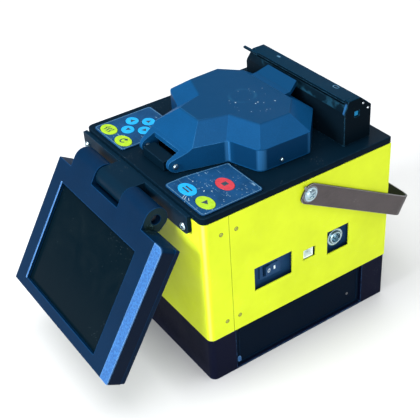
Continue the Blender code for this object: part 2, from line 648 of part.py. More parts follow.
def roof_slope(start, end, wall_top, inset, rise):
    """Plane through a wall's top edge that climbs inwards; the wall runs anticlockwise in plan."""
    along = (Vector(end) - Vector(start)).normalized()
    outward = Vector((along.y, -along.x))
    point = Vector((start[0], start[1], wall_top))
    return point, Vector((outward.x * rise, outward.y * rise, inset)).normalized()


def inset_line(start, end, distance):
    """Line moved towards the inside of an anticlockwise outline."""
    along = (Vector(end) - Vector(start)).normalized()
    shift = Vector((-along.y, along.x)) * distance
    return Vector(start) + shift, Vector(end) + shift


def crossing(first, second):
    """Point where two lines in plan meet."""
    (a, b), (c, d) = first, second
    u, v, w = b - a, d - c, c - a
    return a + u * (w.cross(v) / u.cross(v))


def cover_crown(name, inset, material=None):
    """Wide part of the cover: seven walls under a hipped roof, all moved inwards by an inset."""
    mirror = [(-x, y) for x, y in (TAIL, SIDE_REAR, SIDE_FRONT)]
    middle = NOSE_NECK[1] - NOSE_NECK[0] * (SIDE_FRONT[1] - NOSE_NECK[1]) / (SIDE_FRONT[0] - NOSE_NECK[0])
    ring = [(0.0, middle), SIDE_FRONT, SIDE_REAR, TAIL, *mirror]
    walls = list(zip(ring, ring[1:] + ring[:1]))
    lines = [inset_line(start, end, inset) for start, end in walls]
    corners = [crossing(lines[i - 1], lines[i]) for i in range(len(lines))]
    radii = [0.0, 7 * MM, 2.5 * MM, 2.5 * MM, 2.5 * MM, 2.5 * MM, 7 * MM]
    outline = [(corner.x, corner.y, max(radius - inset, 0.0)) for corner, radius in zip(corners, radii)]
    rise = COVER_ROOF - COVER_WALL_TOP
    slopes = [roof_slope(start, end, COVER_WALL_TOP - inset * 0.6, ROOF_INSET, rise) for start, end in lines]
    return shaved(name, rounded(outline, 5), COVER_ROOF - inset, slopes, material)


def cover_nose(name, inset, profile):
    """Narrow front part of the cover, between flared walls and under a ridged roof.

    The profile (y, z) is what it shows from the side.
    """
    front_y = COVER_PIVOT[0] - 8 * MM
    rear_y = -5.0 * MM
    right = inset_line((flank(front_y, 0), front_y), (flank(rear_y, 0), rear_y), inset)
    left = (Vector((-right[1].x, right[1].y)), Vector((-right[0].x, right[0].y)))
    outline = [left[1], right[0], right[1], left[0]]
    lowered = COVER_WALL_TOP - 0.6 * MM - inset * 0.6
    rise = COVER_ROOF - lowered
    slopes = [roof_slope(start, end, lowered, NOSE_INSET, rise) for start, end in (right, left)]
    nose = shaved(name, outline, COVER_ROOF - inset, slopes)
    boolean(nose, sheet(name + "_profile", profile, (-70 * MM, 70 * MM), "X"), "INTERSECT")
    return nose


def nose_profile():
    """Side view of the nose and its two hinge arms."""
    boss = [point + Vector(COVER_PIVOT) for point in arc(0, 0, BOSS_RADIUS, 118, 262, 12)]
    return [Vector((0, 140 * MM)), Vector((0, 190 * MM)), Vector((ROOF_FRONT, COVER_ROOF + 5 * MM)),
            Vector((ROOF_FRONT, COVER_ROOF)), Vector((NOSE_SHOULDER, 165.4 * MM)), *boss,
            Vector((COVER_PIVOT[0] + 3 * MM, 140 * MM))]


def cover_lip():
    """Raised finger lip behind the roof, narrower towards its tip."""
    root = LIP_ROOT[1]
    tip = LIP_TIP[1]
    top = COVER_ROOF + LIP_RISE
    side = [Vector((root - 6 * MM, COVER_ROOF - 3.2 * MM)), Vector((root, COVER_ROOF - 3.2 * MM)),
            Vector((tip, top - LIP_EDGE)), Vector((tip, top)), Vector((root, COVER_ROOF - 0.1 * MM)),
            Vector((root - 6 * MM, COVER_ROOF - 0.5 * MM))]
    wide = LIP_ROOT[0]
    plan = [(-wide, root - 8 * MM), (wide, root - 8 * MM), (wide, root), (LIP_TIP[0], tip + 1 * MM),
            (-LIP_TIP[0], tip + 1 * MM), (-wide, root)]
    lip = sheet("join_lip", side, (-30 * MM, 30 * MM), "X")
    boolean(lip, sheet("cut_lip_plan", plan, (150 * MM, 200 * MM), "Z"), "INTERSECT")
    return lip


def build_cover():
    axis = pivot("cover_axis", (0.0, *COVER_PIVOT))
    cover = cover_crown("wind_cover", 0.0, COVER_BLUE)
    boolean(cover, cover_nose("join_nose", 0.0, nose_profile()), "UNION")
    slope_foot = COVER_ROOF - (ROOF_FRONT - NOSE_FRONT) * 0.8
    hollow = [Vector((0, 140 * MM)), Vector((0, 190 * MM)), Vector((ROOF_FRONT + 1 * MM, COVER_ROOF)),
              Vector((ROOF_FRONT + 1 * MM, COVER_ROOF - COVER_SKIN)),
              Vector((NOSE_FRONT + COVER_SKIN, slope_foot - COVER_SKIN)),
              Vector((NOSE_FRONT + COVER_SKIN, 140 * MM))]
    for cutter in (cover_crown("cut_crown", COVER_SKIN), cover_nose("cut_nose", COVER_SKIN, hollow)):
        cutter.location.z -= 0.2 * MM
        boolean(cover, cutter)
    between = flank(COVER_PIVOT[0], 0) - ARM_THICKNESS
    boolean(cover, box("cut_between_arms", (-between, between), (-80 * MM, NOSE_FRONT), (140 * MM, 190 * MM)))
    boolean(cover, box("cut_nose_front", (-between, between), (-75 * MM, -50 * MM), (140 * MM, 160.4 * MM)))
    boolean(cover, cover_lip(), "UNION")
    across = (-30 * MM, 30 * MM)
    bore = COVER_PIN_RADIUS + 0.35 * MM
    boolean(cover, rod("cut_cover_pins", bore, across, COVER_PIVOT, "X", None, 24))
    catch_z = 155.5 * MM
    stud = ((0, 1.9 * MM), (1.0 * MM, 1.8 * MM), (1.4 * MM, 1.3 * MM), (1.4 * MM, 0), (0, 0))
    catch = turned("cover_catch", stud, Vector((60.3 * MM + GAP, -2.5 * MM, catch_z)), AXIS["X"], CHROME, 16)
    hang(axis, cover, catch)

    half = 14.3 * MM
    block = box("cover_hinge_block", (-half, half), (-72.6 * MM, -62.0 * MM), (DECK_TOP + GAP, 158.2 * MM),
                BLACK, 0.8 * MM)
    bore = COVER_PIN_RADIUS + 0.25 * MM
    boolean(block, rod("cut_block_pins", bore, across, COVER_PIVOT, "X", None, 24))
    outer = flank(COVER_PIVOT[0], 0) + 0.9 * MM
    head = 2.3 * MM
    profile = ((0, 1.2 * MM), (head - 0.8 * MM, 1.1 * MM), (head, 0.5 * MM), (head, 0), (COVER_PIN_RADIUS, 0),
               (COVER_PIN_RADIUS, -15 * MM), (0, -15 * MM))
    for name, side in SIDES.items():
        centre = Vector((side * outer, *COVER_PIVOT))
        turned("cover_pin_" + name, profile, centre, AXIS["X"] * side, CHROME, 24)


# ---------------------------------------------------------------- splicing unit

def build_splicer():
    inset = 0.4 * MM
    top = DECK_TOP - inset
    outline = rectangle(WELL[0] + inset, WELL[1] - inset, WELL[2] + inset, WELL[3] - inset, 3 * MM - inset)
    frame = sheet("splice_frame", outline, (118 * MM, top), "Z", ALUMINIUM)
    post_span = {"front": (-14 * MM, -6 * MM), "rear": (22 * MM, 30 * MM)}
    for name, y in post_span.items():
        post = box("join_electrode_post_" + name, (-5 * MM, 5 * MM), y, (top - 5 * MM, 160 * MM))
        boolean(frame, post, "UNION")
    boolean(frame, box("cut_electrode_groove", (-1.5 * MM, 1.5 * MM), (-20 * MM, 35 * MM),
                       (FIBRE_Z - 1.5 * MM, 165 * MM)))

    block = box("vgroove_block", (-10 * MM, 10 * MM), (SPLICE_Y - 8 * MM, SPLICE_Y + 8 * MM),
                (top + GAP, FIBRE_Z - 0.3 * MM), CERAMIC, 0.4 * MM)
    boolean(block, box("cut_arc_gap", (-3 * MM, 3 * MM), (-10 * MM, 30 * MM), (FIBRE_Z - 4 * MM, 165 * MM)))

    tip = 1.6 * MM
    length = 16 * MM
    needle = ((0, length), (1.2 * MM, length - 4 * MM), (1.2 * MM, 0), (0, 0))
    for name, sign in (("front", -1), ("rear", 1)):
        start = Vector((0.0, SPLICE_Y + sign * (length + tip), FIBRE_Z))
        turned("electrode_" + name, needle, start, AXIS["Y"] * -sign, STEEL, 16)
        lens = ((0, 0), (6 * MM, 0), (6 * MM, -12 * MM), (7.5 * MM, -13 * MM),
                (7.5 * MM, -30 * MM), (0, -30 * MM))
        centre = Vector((0.0, SPLICE_Y + sign * 10 * MM, 118 * MM - GAP))
        turned("objective_" + name, lens, centre, AXIS["Z"], BLACK, 24)

    for name, sign in SIDES.items():
        x = sorted((sign * STAGE_X[0], sign * STAGE_X[1]))
        stage = box("fibre_stage_" + name, x, (SPLICE_Y - 8 * MM, SPLICE_Y + 9 * MM), (top + GAP, STAGE_TOP),
                    ALUMINIUM, 0.5 * MM)
        vee = [Vector((SPLICE_Y - 1 * MM, STAGE_TOP + 0.1 * MM)), Vector((SPLICE_Y, STAGE_TOP - 0.9 * MM)),
               Vector((SPLICE_Y + 1 * MM, STAGE_TOP + 0.1 * MM))]
        groove = sheet("cut_stage_groove_" + name, vee, (-50 * MM, 50 * MM), "X")
        boolean(stage, groove)
        lid_x = (x[0] + 3 * MM, x[1] - 3 * MM)
        lid = box("clamp_lid_" + name, lid_x, (SPLICE_Y - 6 * MM, SPLICE_Y + 7.5 * MM),
                  (STAGE_TOP + GAP, STAGE_TOP + 4 * MM), ALUMINIUM, 0.8 * MM)
        hang(pivot("clamp_axis_" + name, (0.0, SPLICE_Y + 7.5 * MM, STAGE_TOP + 1 * MM)), lid)


# ---------------------------------------------------------------- tube heater

def build_heater():
    bottom = DECK_TOP + GAP
    front, rear = HEATER_Y
    left, right = HEATER_X
    hood = [Vector((front, bottom)), Vector((rear, bottom)), Vector((rear, HEATER_RIM + 0.4 * MM)),
            Vector((HEATER_CREST[1], HEATER_TOP)), Vector((HEATER_CREST[0], HEATER_TOP)),
            Vector((front, HEATER_RIM + 0.4 * MM))]
    slot_y = (SLEEVE_Y - SLEEVE_SLOT / 2, SLEEVE_Y + SLEEVE_SLOT / 2)
    slot = rectangle(*slot_y, HEATER_RIM - 5.4 * MM, HEATER_RIM - 0.8 * MM)
    base = sheet("heater_base", hood, HEATER_X, "X", BLACK, [slot])
    lid_x = (left + HEATER_END[0], right - HEATER_END[1])
    boolean(base, box("cut_heater_top", lid_x, (front - 5 * MM, rear + 5 * MM), (HEATER_SILL, 200 * MM)))
    behind = (HEATER_CREST[0] + 3 * MM, rear + 5 * MM)
    boolean(base, box("cut_heater_rear", lid_x, behind, (HEATER_RIM, 200 * MM)))
    pocket_y = (front + HEATER_FRONT_WALL, rear - HEATER_WALL)
    boolean(base, box("cut_heater_pocket", lid_x, pocket_y, (bottom + HEATER_WALL, 200 * MM)))
    slope = [(left - 10 * MM, HEATER_RIM - 2 * MM), (left, HEATER_RIM - 2 * MM),
             (left + 4.5 * MM, HEATER_TOP + 1 * MM), (left - 10 * MM, HEATER_TOP + 1 * MM)]
    boolean(base, sheet("cut_heater_slope", slope, (front - 5 * MM, rear + 5 * MM), "Y"))

    trough_y = (pocket_y[0] + 0.6 * MM, pocket_y[1] - 0.6 * MM)
    trough_z = (bottom + HEATER_WALL + GAP, HEATER_RIM - 0.8 * MM)
    vee = 5.0 * MM
    channel = [Vector((trough_y[0], trough_z[0])), Vector((trough_y[1], trough_z[0])),
               Vector((trough_y[1], trough_z[1])), Vector((SLEEVE_Y + vee, trough_z[1])),
               Vector((SLEEVE_Y, trough_z[1] - 11 * MM)), Vector((SLEEVE_Y - vee, trough_z[1])),
               Vector((trough_y[0], trough_z[1]))]
    sheet("heater_trough", channel, (lid_x[0] + 1 * MM, lid_x[1] - 1 * MM), "X", ALUMINIUM)

    lid_z = HEATER_RIM + GAP
    edge = HEATER_LID_FRONT
    skin = 2.1 * MM
    shell = [Vector((edge, HEATER_TOP - skin)), Vector((edge, HEATER_TOP)),
             Vector((HEATER_CREST[1], HEATER_TOP)),
             Vector((rear - 0.4 * MM, lid_z + 0.8 * MM)), Vector((rear - 0.4 * MM, lid_z)),
             Vector((rear - 3.4 * MM, lid_z)), Vector((HEATER_CREST[1] - 0.8 * MM, HEATER_TOP - skin))]
    lid = sheet("heater_lid", shell, (lid_x[0] + GAP, lid_x[1] - GAP), "X", BLACK)
    tab = box("join_lid_tab", (left - 4 * MM, lid_x[0] + 6 * MM), (edge - 1.8 * MM, edge + 0.1 * MM),
              (HEATER_TOP - 1.8 * MM, HEATER_TOP - 0.1 * MM))
    boolean(lid, tab, "UNION")
    hang(pivot("heater_lid_axis", (0.0, rear, lid_z)), lid)


# ---------------------------------------------------------------- carry handle

def build_handle():
    """Flat strap bent into a U; modelled level, then turned about its two pivot screws."""
    axis = pivot("handle_axis", (0.0, *HANDLE_PIVOT), HANDLE_ANGLE)
    inner = HALF_WIDTH + GAP
    outer = inner + STRAP
    bend = HANDLE_BEND - STRAP
    path = ((-outer, -HANDLE_TAIL, 0), (-inner, -HANDLE_TAIL, 0), (-inner, HANDLE_REACH - STRAP, bend),
            (inner, HANDLE_REACH - STRAP, bend), (inner, -HANDLE_TAIL, 0), (outer, -HANDLE_TAIL, 0),
            (outer, HANDLE_REACH, HANDLE_BEND), (-outer, HANDLE_REACH, HANDLE_BEND))
    width = (-HANDLE_HALF_WIDTH, HANDLE_HALF_WIDTH)
    handle = sheet("carry_handle", rounded(path, 8), width, "Z", STRAP_PAINT)
    for low, high, radius in ((0.0, 1.0, 7.5 * MM), (-1.0, 0.0, 4.5 * MM)):
        round_edges(handle, lambda a, b: max(a.y, b.y) < GAP - HANDLE_TAIL
                    and low < a.z < high and low < b.z < high, radius, 6)
    bore = rod("cut_handle_bore", HANDLE_BORE, (-outer - 5 * MM, outer + 5 * MM), (0, 0), "X")
    boolean(handle, bore)
    mount(axis, handle, bore)

    flange = 5.6 * MM
    dome = 4.2 * MM
    shank = HANDLE_BORE - 0.3 * MM
    profile = ((0, 2.0 * MM), (dome - 1.6 * MM, 1.8 * MM), (dome - 0.4 * MM, 1.2 * MM), (dome, 0.6 * MM),
               (flange, 0.5 * MM), (flange, 0), (shank, 0), (shank, -7 * MM), (0, -7 * MM))
    for name, side in SIDES.items():
        seat = Vector((side * (outer + GAP), *HANDLE_PIVOT))
        turned("handle_screw_" + name, profile, seat, AXIS["X"] * side, CHROME, 32)


def smooth_round_pieces():
    for obj in PARTS.objects:
        if obj.type == "MESH":
            obj.data.shade_smooth()
            obj.data.set_sharp_from_angle(angle=math.radians(22))


build_base()
build_body()
build_chassis()
build_ports()
build_monitor()
build_bracket()
build_keypads()
build_cover()
build_splicer()
build_heater()
build_handle()
smooth_round_pieces()
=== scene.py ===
"""Looks of the fiber fusion splicer: finishes, printed marks, small fittings, studio and camera.

Every place is in metres in the part's own frame: +X is the side with the switch and the sockets,
-Y is the front, where the monitor hangs, and the origin is the centre of the underside.
"""

import itertools
import json
import math

import bmesh
import bpy
from mathutils import Matrix, Vector

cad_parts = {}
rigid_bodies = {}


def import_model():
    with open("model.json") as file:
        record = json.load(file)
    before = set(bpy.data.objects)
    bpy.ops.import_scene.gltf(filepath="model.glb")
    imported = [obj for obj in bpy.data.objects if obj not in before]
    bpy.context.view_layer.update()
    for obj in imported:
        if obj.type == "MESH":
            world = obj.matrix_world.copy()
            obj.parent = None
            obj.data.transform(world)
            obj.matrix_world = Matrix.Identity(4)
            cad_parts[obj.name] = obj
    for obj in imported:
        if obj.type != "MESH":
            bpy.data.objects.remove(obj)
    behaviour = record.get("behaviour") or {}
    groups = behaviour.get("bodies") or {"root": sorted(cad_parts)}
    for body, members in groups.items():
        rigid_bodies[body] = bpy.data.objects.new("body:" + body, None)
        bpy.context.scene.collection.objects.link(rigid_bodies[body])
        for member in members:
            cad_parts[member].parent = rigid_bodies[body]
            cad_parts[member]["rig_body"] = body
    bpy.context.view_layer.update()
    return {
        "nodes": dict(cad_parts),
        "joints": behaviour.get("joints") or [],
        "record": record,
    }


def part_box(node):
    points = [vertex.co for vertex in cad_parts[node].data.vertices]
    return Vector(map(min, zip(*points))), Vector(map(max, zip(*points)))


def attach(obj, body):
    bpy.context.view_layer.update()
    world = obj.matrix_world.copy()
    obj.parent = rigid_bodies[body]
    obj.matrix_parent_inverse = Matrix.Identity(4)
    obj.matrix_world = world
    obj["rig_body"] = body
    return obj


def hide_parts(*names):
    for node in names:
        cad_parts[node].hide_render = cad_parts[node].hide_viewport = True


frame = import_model()
scene = bpy.context.scene

MM = 0.001
X_AXIS = Vector((1, 0, 0))
Y_AXIS = Vector((0, 1, 0))
Z_AXIS = Vector((0, 0, 1))
MONITOR_TILT = math.radians(-30.9)
PRINT = 0.05 * MM                   # height of a printed mark
LIFT = 0.01 * MM                    # how far a mark sinks into the face it is printed on
WELD_GAP = 0.002 * MM               # corners nearer than this are one corner
SIDES = (("right", 1), ("left", -1))
NODE_SLOT = {part["node"]: part["material_slot"] for part in frame["record"]["subparts"]}
HINGE = Vector(next(j["pos_m"] for j in frame["joints"] if j["name"] == "monitor_tilt"))
MONITOR_PLACE = Matrix.Translation(HINGE) @ Matrix.Rotation(MONITOR_TILT, 4, "X")


# ---------------------------------------------------------------- materials

class Look:
    """One node material, built up in the object's own coordinates.

    Lengths are in metres and pattern scales in cells per metre. Masks run from 0 to 1.
    """

    def __init__(self, name, colour, roughness, metallic=0.0, specular=0.5, coat=0.0):
        self.material = bpy.data.materials.new(name)
        self.material.use_nodes = True
        self.material.diffuse_color = (*colour, 1.0)
        self.tree = self.material.node_tree
        self.shader = self.tree.nodes["Principled BSDF"]
        self.place = self.tree.nodes.new("ShaderNodeTexCoord").outputs["Object"]
        self.rough = roughness
        constants = {"Metallic": metallic, "Specular IOR Level": specular, "Coat Weight": coat,
                     "Coat Roughness": 0.1}
        for key, value in constants.items():
            self.plug(self.shader.inputs[key], value)

    def plug(self, socket, value):
        """Links a value to a socket or sets it there. Colours have three parts."""
        if isinstance(value, bpy.types.NodeSocket):
            self.tree.links.new(value, socket)
        else:
            socket.default_value = (*value, 1.0) if socket.type == "RGBA" else value

    def node(self, kind, inputs, **settings):
        """Adds a node, sets its properties, then links or sets its inputs."""
        made = self.tree.nodes.new(kind)
        for key, value in settings.items():
            setattr(made, key, value)
        for key, value in inputs.items():
            self.plug(made.inputs[key], value)
        return made

    def stretched(self, scale, turn=(0.0, 0.0, 0.0)):
        """The object's coordinates, turned and scaled for a streaked pattern."""
        inputs = {"Vector": self.place, "Scale": scale, "Rotation": turn}
        return self.node("ShaderNodeMapping", inputs).outputs[0]

    def noise(self, scale, detail=3.0, roughness=0.55, at=None, distortion=0.0):
        inputs = {"Vector": at or self.place, "Scale": scale, "Detail": detail,
                  "Roughness": roughness, "Distortion": distortion}
        return self.node("ShaderNodeTexNoise", inputs).outputs["Fac"]

    def cells(self, scale, at=None, randomness=1.0):
        inputs = {"Vector": at or self.place, "Scale": scale, "Randomness": randomness}
        return self.node("ShaderNodeTexVoronoi", inputs).outputs["Distance"]

    def remap(self, value, low, high, to_low=0.0, to_high=1.0):
        inputs = {"Value": value, "From Min": low, "From Max": high, "To Min": to_low,
                  "To Max": to_high}
        return self.node("ShaderNodeMapRange", inputs, clamp=True).outputs["Result"]

    def math(self, operation, first, second):
        return self.node("ShaderNodeMath", {0: first, 1: second}, operation=operation).outputs[0]

    def vectors(self, operation, first, second):
        """Outputs of a vector sum: 0 is the vector, "Value" the number."""
        inputs = {0: first, 1: second}
        return self.node("ShaderNodeVectorMath", inputs, operation=operation).outputs

    def times(self, first, second):
        return self.math("MULTIPLY", first, second)

    def plus(self, first, second):
        return self.math("ADD", first, second)

    def mix(self, factor, first, second):
        """Colour that goes from the first to the second as the factor goes from 0 to 1."""
        inputs = {"Factor": factor, 6: first, 7: second}
        return self.node("ShaderNodeMix", inputs, data_type="RGBA").outputs[2]

    def over(self, tone, colour, mask, amount):
        """The tone with a colour laid over it, as far as a mask and an amount say."""
        return self.mix(self.times(mask, amount), tone, colour)

    def edges(self, radius):
        """1 along convex and concave edges, 0 on open faces."""
        low, high = 0.003, 0.06     # how far the rounded normal leans off the true one
        soft = self.node("ShaderNodeBevel", {"Radius": radius}, samples=6).outputs[0]
        true = self.tree.nodes.new("ShaderNodeNewGeometry").outputs["Normal"]
        dot = self.vectors("DOT_PRODUCT", soft, true)["Value"]
        return self.remap(dot, 1.0 - low, 1.0 - high)

    def within(self, centre, radius, soft):
        """1 inside a ball, fading to 0 over a soft rim."""
        gap = self.vectors("DISTANCE", self.place, centre)["Value"]
        return self.remap(gap, radius + soft, radius)

    def column(self, centre, radius, soft):
        """1 inside an upright cylinder, fading to 0 over a soft rim."""
        flat = self.vectors("MULTIPLY", self.place, (1.0, 1.0, 0.0))[0]
        gap = self.vectors("DISTANCE", flat, (*centre, 0.0))["Value"]
        return self.remap(gap, radius + soft, radius)

    def along(self, axis):
        return self.node("ShaderNodeSeparateXYZ", {0: self.place}).outputs[axis]

    def band(self, axis, start, end, soft):
        """1 between two places along an axis, fading out over a soft width."""
        at = self.along(axis)
        return self.times(self.remap(at, start - soft, start), self.remap(at, end + soft, end))

    def specks(self, scale, size, amount):
        """Small round spots in groups: kept only where a coarse noise is high."""
        spot = self.remap(self.cells(scale), size, size * 0.5)
        group = self.remap(self.noise(scale * 0.07, 2.0), 1.0 - amount, 1.04 - amount)
        return self.times(spot, group)

    def scratches(self, scale, turn, amount, length=14.0, width=0.35):
        """Thin short lines that run one way, with gaps."""
        at = self.stretched((scale / length, scale, scale), turn)
        line = self.remap(self.noise(1.0, 2.0, 0.5, at, width), 1.0 - amount, 1.02 - amount)
        gap = self.remap(self.noise(scale * 0.16, 2.0), 0.5, 0.56)
        return self.times(line, gap)

    def finish(self, colour, roughness=None, height=None, depth=0.0, strength=0.0):
        """Gives the shader its colour and, if they are given, its roughness and a bump."""
        self.plug(self.shader.inputs["Base Color"], colour)
        self.plug(self.shader.inputs["Roughness"], self.rough if roughness is None else roughness)
        if height is not None:
            inputs = {"Height": height, "Distance": depth, "Strength": strength}
            self.plug(self.shader.inputs["Normal"], self.node("ShaderNodeBump", inputs).outputs[0])
        return self.material


def shade(colour, factor):
    return tuple(min(channel * factor, 1.0) for channel in colour)


def painted_metal(name, colour, roughness, specular, worn, wear, dust=(0.1, 0.12, 0.13)):
    """Sprayed coating over metal: orange peel, slight tone drift, rubbed edges and some dust."""
    look = Look(name, colour, roughness, specular=specular)
    drift = look.remap(look.noise(22.0, 4.0, 0.6), 0.3, 0.7)
    tone = look.mix(drift, shade(colour, 0.9), shade(colour, 1.07))
    patchy = look.remap(look.noise(260.0, 5.0, 0.7), 0.4, 0.6, 0.15 * wear, wear)
    tone = look.over(tone, worn, look.edges(0.7 * MM), patchy)
    tone = look.over(tone, dust, look.specks(620.0, 0.16, 0.42), 0.55)
    haze = look.noise(38.0, 5.0, 0.62, distortion=0.5)
    shine = look.remap(haze, 0.35, 0.7, roughness - 0.05, roughness + 0.1)
    peel = look.plus(look.noise(720.0, 2.0, 0.5), look.times(look.noise(2600.0, 2.0), 0.35))
    return look, tone, shine, peel


def plain_paint(*recipe):
    look, tone, shine, peel = painted_metal(*recipe)
    return look.finish(tone, shine, peel, 0.03 * MM, 0.45)


def yellow_paint():
    """Yellow-green powder coat, with a painted highlight down the two rounded front corners."""
    colour = (0.56, 0.665, 0.016)
    look, tone, shine, peel = painted_metal("yellow_powder_coat", colour, 0.42, 0.12,
                                            (0.62, 0.78, 0.1), 0.5, (0.6, 0.66, 0.3))
    low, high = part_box("front_cover")
    # painted highlight: a pale upright band down each rounded front corner
    for x in (low.x, high.x):
        column = look.column((x, low.y), 1.6 * MM, 1.2 * MM)
        tone = look.over(tone, (0.85, 0.95, 0.3), column, 0.5)
    return look.finish(tone, shine, peel, 0.03 * MM, 0.45)


def heater_paint():
    """Blue-black paint, with painted sheen on the lid's top and painted highlights on the sill and
    at its right end.
    """
    colour = (0.0014, 0.0045, 0.008)
    look, tone, shine, peel = painted_metal("heater_blue_black", colour, 0.34, 0.01,
                                            (0.02, 0.09, 0.16), 0.9)
    low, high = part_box("heater_base")
    lid_low, lid_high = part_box("heater_lid")
    # painted sheen: the lid's top is bluer and lighter than the rest of the paint
    lid_top_sheen = look.band("Z", lid_high.z - 0.4 * MM, lid_high.z + 1 * MM, 0.2 * MM)
    cloud = look.remap(look.noise(45.0), 0.3, 0.7, 0.7, 1.0)
    tone = look.over(tone, (0.0003, 0.0125, 0.028), lid_top_sheen, cloud)
    # painted highlight on the sloping sill: dim and patchy, with brighter glints
    sill = look.times(look.band("Y", low.y + 0.1 * MM, lid_low.y + 2 * MM, 0.3 * MM),
                      look.band("Z", high.z - 9 * MM, high.z - 3.9 * MM, 0.3 * MM))
    cloud = look.remap(look.noise(60.0, 4.0, 0.6), 0.3, 0.7, 0.3, 0.8)
    tone = look.over(tone, (0.0015, 0.007, 0.013), sill, cloud)
    bright = look.remap(look.noise(75.0, 3.0, 0.5), 0.55, 0.62, 0.0, 0.7)
    tone = look.over(tone, (0.007, 0.036, 0.062), sill, bright)
    # painted highlight on the right end, round its front top corner
    corner = (high.x - 1.3 * MM, low.y + 1.2 * MM, high.z - 6.2 * MM)
    end_highlight = look.times(look.within(corner, 3.4 * MM, 1.2 * MM),
                     look.band("X", high.x - 2.4 * MM, high.x - 0.9 * MM, 0.3 * MM))
    tone = look.over(tone, (0.014, 0.07, 0.17), end_highlight, 0.8)
    return look.finish(tone, shine, peel, 0.03 * MM, 0.45)


def moulded(name, colour, roughness, specular, grain, worn, streaks=0.5):
    """Spark-eroded moulded plastic: fine pebbled grain, faint flow marks and paler edges, partly
    rubbed and partly a painted edge highlight.
    """
    look = Look(name, colour, roughness, specular=specular)
    drift = look.remap(look.noise(30.0, 4.0, 0.6), 0.3, 0.7)
    tone = look.mix(drift, shade(colour, 0.9), shade(colour, 1.1))
    fleck = look.remap(look.noise(grain * 0.45, 2.0), 0.35, 0.65, 0.0, 0.3)
    tone = look.mix(fleck, tone, shade(colour, 1.45))
    # paler edges: partly rubbed, partly a painted edge highlight
    edge = look.edges(0.8 * MM)
    tone = look.over(tone, shade(colour, worn), edge, 0.7)
    line = look.scratches(900.0, (0.2, 0.5, 0.9), 0.27)
    tone = look.over(tone, shade(colour, 3.2), line, streaks)
    shine = look.remap(look.noise(55.0, 4.0, 0.6), 0.35, 0.7, roughness - 0.06, roughness + 0.06)
    pebble = look.plus(look.noise(grain, 2.0), look.times(look.cells(grain * 0.5), 0.5))
    return look, tone, shine, pebble


def cover_plastic():
    """Slate-blue cover: painted shade on the flat top and the walls, painted highlights at the
    wall corners and along the edges of each hinge arm, pale specks and a faint round mark on its
    flat top.
    """
    colour = (0.0016, 0.031, 0.088)
    look, tone, shine, pebble = moulded("cover_slate_blue", colour, 0.46, 0.03, 2300.0, 1.7, 0.35)
    low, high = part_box("wind_cover")
    roof = high.z - 4.8 * MM                    # the flat top, in front of the lifting lip
    # painted shade: the flat top darker than the sloped facets
    flat = look.remap(look.along("Z"), roof - 1.0 * MM, roof)
    tone = look.mix(flat, tone, (0.0011, 0.0235, 0.064))
    # painted shade on the walls behind the neck
    wall = look.band("Z", low.z + 1.2 * MM, low.z + 16.8 * MM, 0.8 * MM)
    neck, arm_root = -27 * MM, -34 * MM
    wall_shade = look.times(wall, look.band("Y", neck, high.y, 2 * MM))
    tone = look.over(tone, (0.0008, 0.016, 0.048), wall_shade, 0.72)
    # painted highlights: pale upright bands at the wall corners
    corner_highlights = ((32.6, -29.2, 1.2, 0.7), (57.4, -17.5, 2.6, 0.5), (60.6, 23.0, 0.8, 0.35))
    for x, y, radius, amount in corner_highlights:       # wall corners and their radii in mm, and how bright their painted highlight is
        for side in (1, -1):
            corner = look.times(look.column((side * x * MM, y * MM), radius * MM, 1.6 * MM), wall)
            tone = look.over(tone, (0.022, 0.12, 0.28), corner, amount)
    # painted highlight along the edges of each hinge arm, patchy
    arm_edge_highlight = look.times(look.edges(0.6 * MM), look.band("Y", low.y, arm_root, 4 * MM))
    patchy = look.remap(look.noise(120.0), 0.4, 0.6, 0.2, 0.7)
    tone = look.over(tone, (0.03, 0.13, 0.26), arm_edge_highlight, patchy)
    spots = look.remap(look.cells(330.0), 0.2, 0.12)
    specked = (14 * MM, 9 * MM, roof)
    area = look.within(specked, 15 * MM, 5 * MM)
    sparse = look.remap(look.noise(210.0, 1.0), 0.5, 0.54)
    tone = look.over(tone, (0.26, 0.33, 0.38), look.times(spots, area), sparse)
    mark = (3 * MM, 6 * MM, roof)
    outer = look.within(mark, 10 * MM, 1.5 * MM)
    inner = look.within(mark, 8 * MM, 1.5 * MM)
    faint = look.remap(look.noise(90.0), 0.4, 0.62, 0.0, 0.3)
    rim = look.times(look.math("SUBTRACT", outer, inner), faint)
    tone = look.mix(rim, tone, (0.01, 0.07, 0.13))
    tone = look.over(tone, (0.06, 0.12, 0.18), look.specks(900.0, 0.12, 0.36), 0.5)
    return look.finish(tone, shine, pebble, 0.03 * MM, 0.5)


def monitor_plastic():
    """Satin slate blue, with painted shade on the right side, grey-green on the right knuckle's
    cut end.
    """
    colour = (0.0006, 0.0088, 0.0265)
    look, tone, shine, pebble = moulded("monitor_slate_blue", colour, 0.42, 0.03, 2600.0, 4.5)
    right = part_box("monitor_bezel")[1].x
    # painted shade on the right side face
    side = look.band("X", right - 0.25 * MM, right + 5 * MM, 0.1 * MM)
    tone = look.over(tone, (0.003, 0.0058, 0.0145), side, 0.75)
    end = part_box("monitor_hinge_pin")[1].x + 5 * MM     # cut end of the right knuckle
    face = look.times(look.within((end, HINGE.y, HINGE.z), 9.6 * MM, 0.6 * MM),
                      look.band("X", end - 0.12 * MM, end + 1 * MM, 0.05 * MM))
    inner = look.remap(look.edges(1.0 * MM), 0.0, 1.0, 0.9, 0.0)
    tone = look.over(tone, (0.0105, 0.024, 0.03), face, inner)
    bezel_corner = (end + 2 * MM, -107.3 * MM, 132.6 * MM)
    rubbed = look.within(bezel_corner, 4 * MM, 2.5 * MM)
    tone = look.over(tone, (0.0022, 0.0075, 0.0085), rubbed, 0.8)
    patchy = look.remap(look.noise(520.0, 4.0, 0.7), 0.54, 0.62, 0.0, 0.8)
    tone = look.over(tone, (0.05, 0.11, 0.13), rubbed, patchy)
    return look.finish(tone, shine, pebble, 0.025 * MM, 0.45)


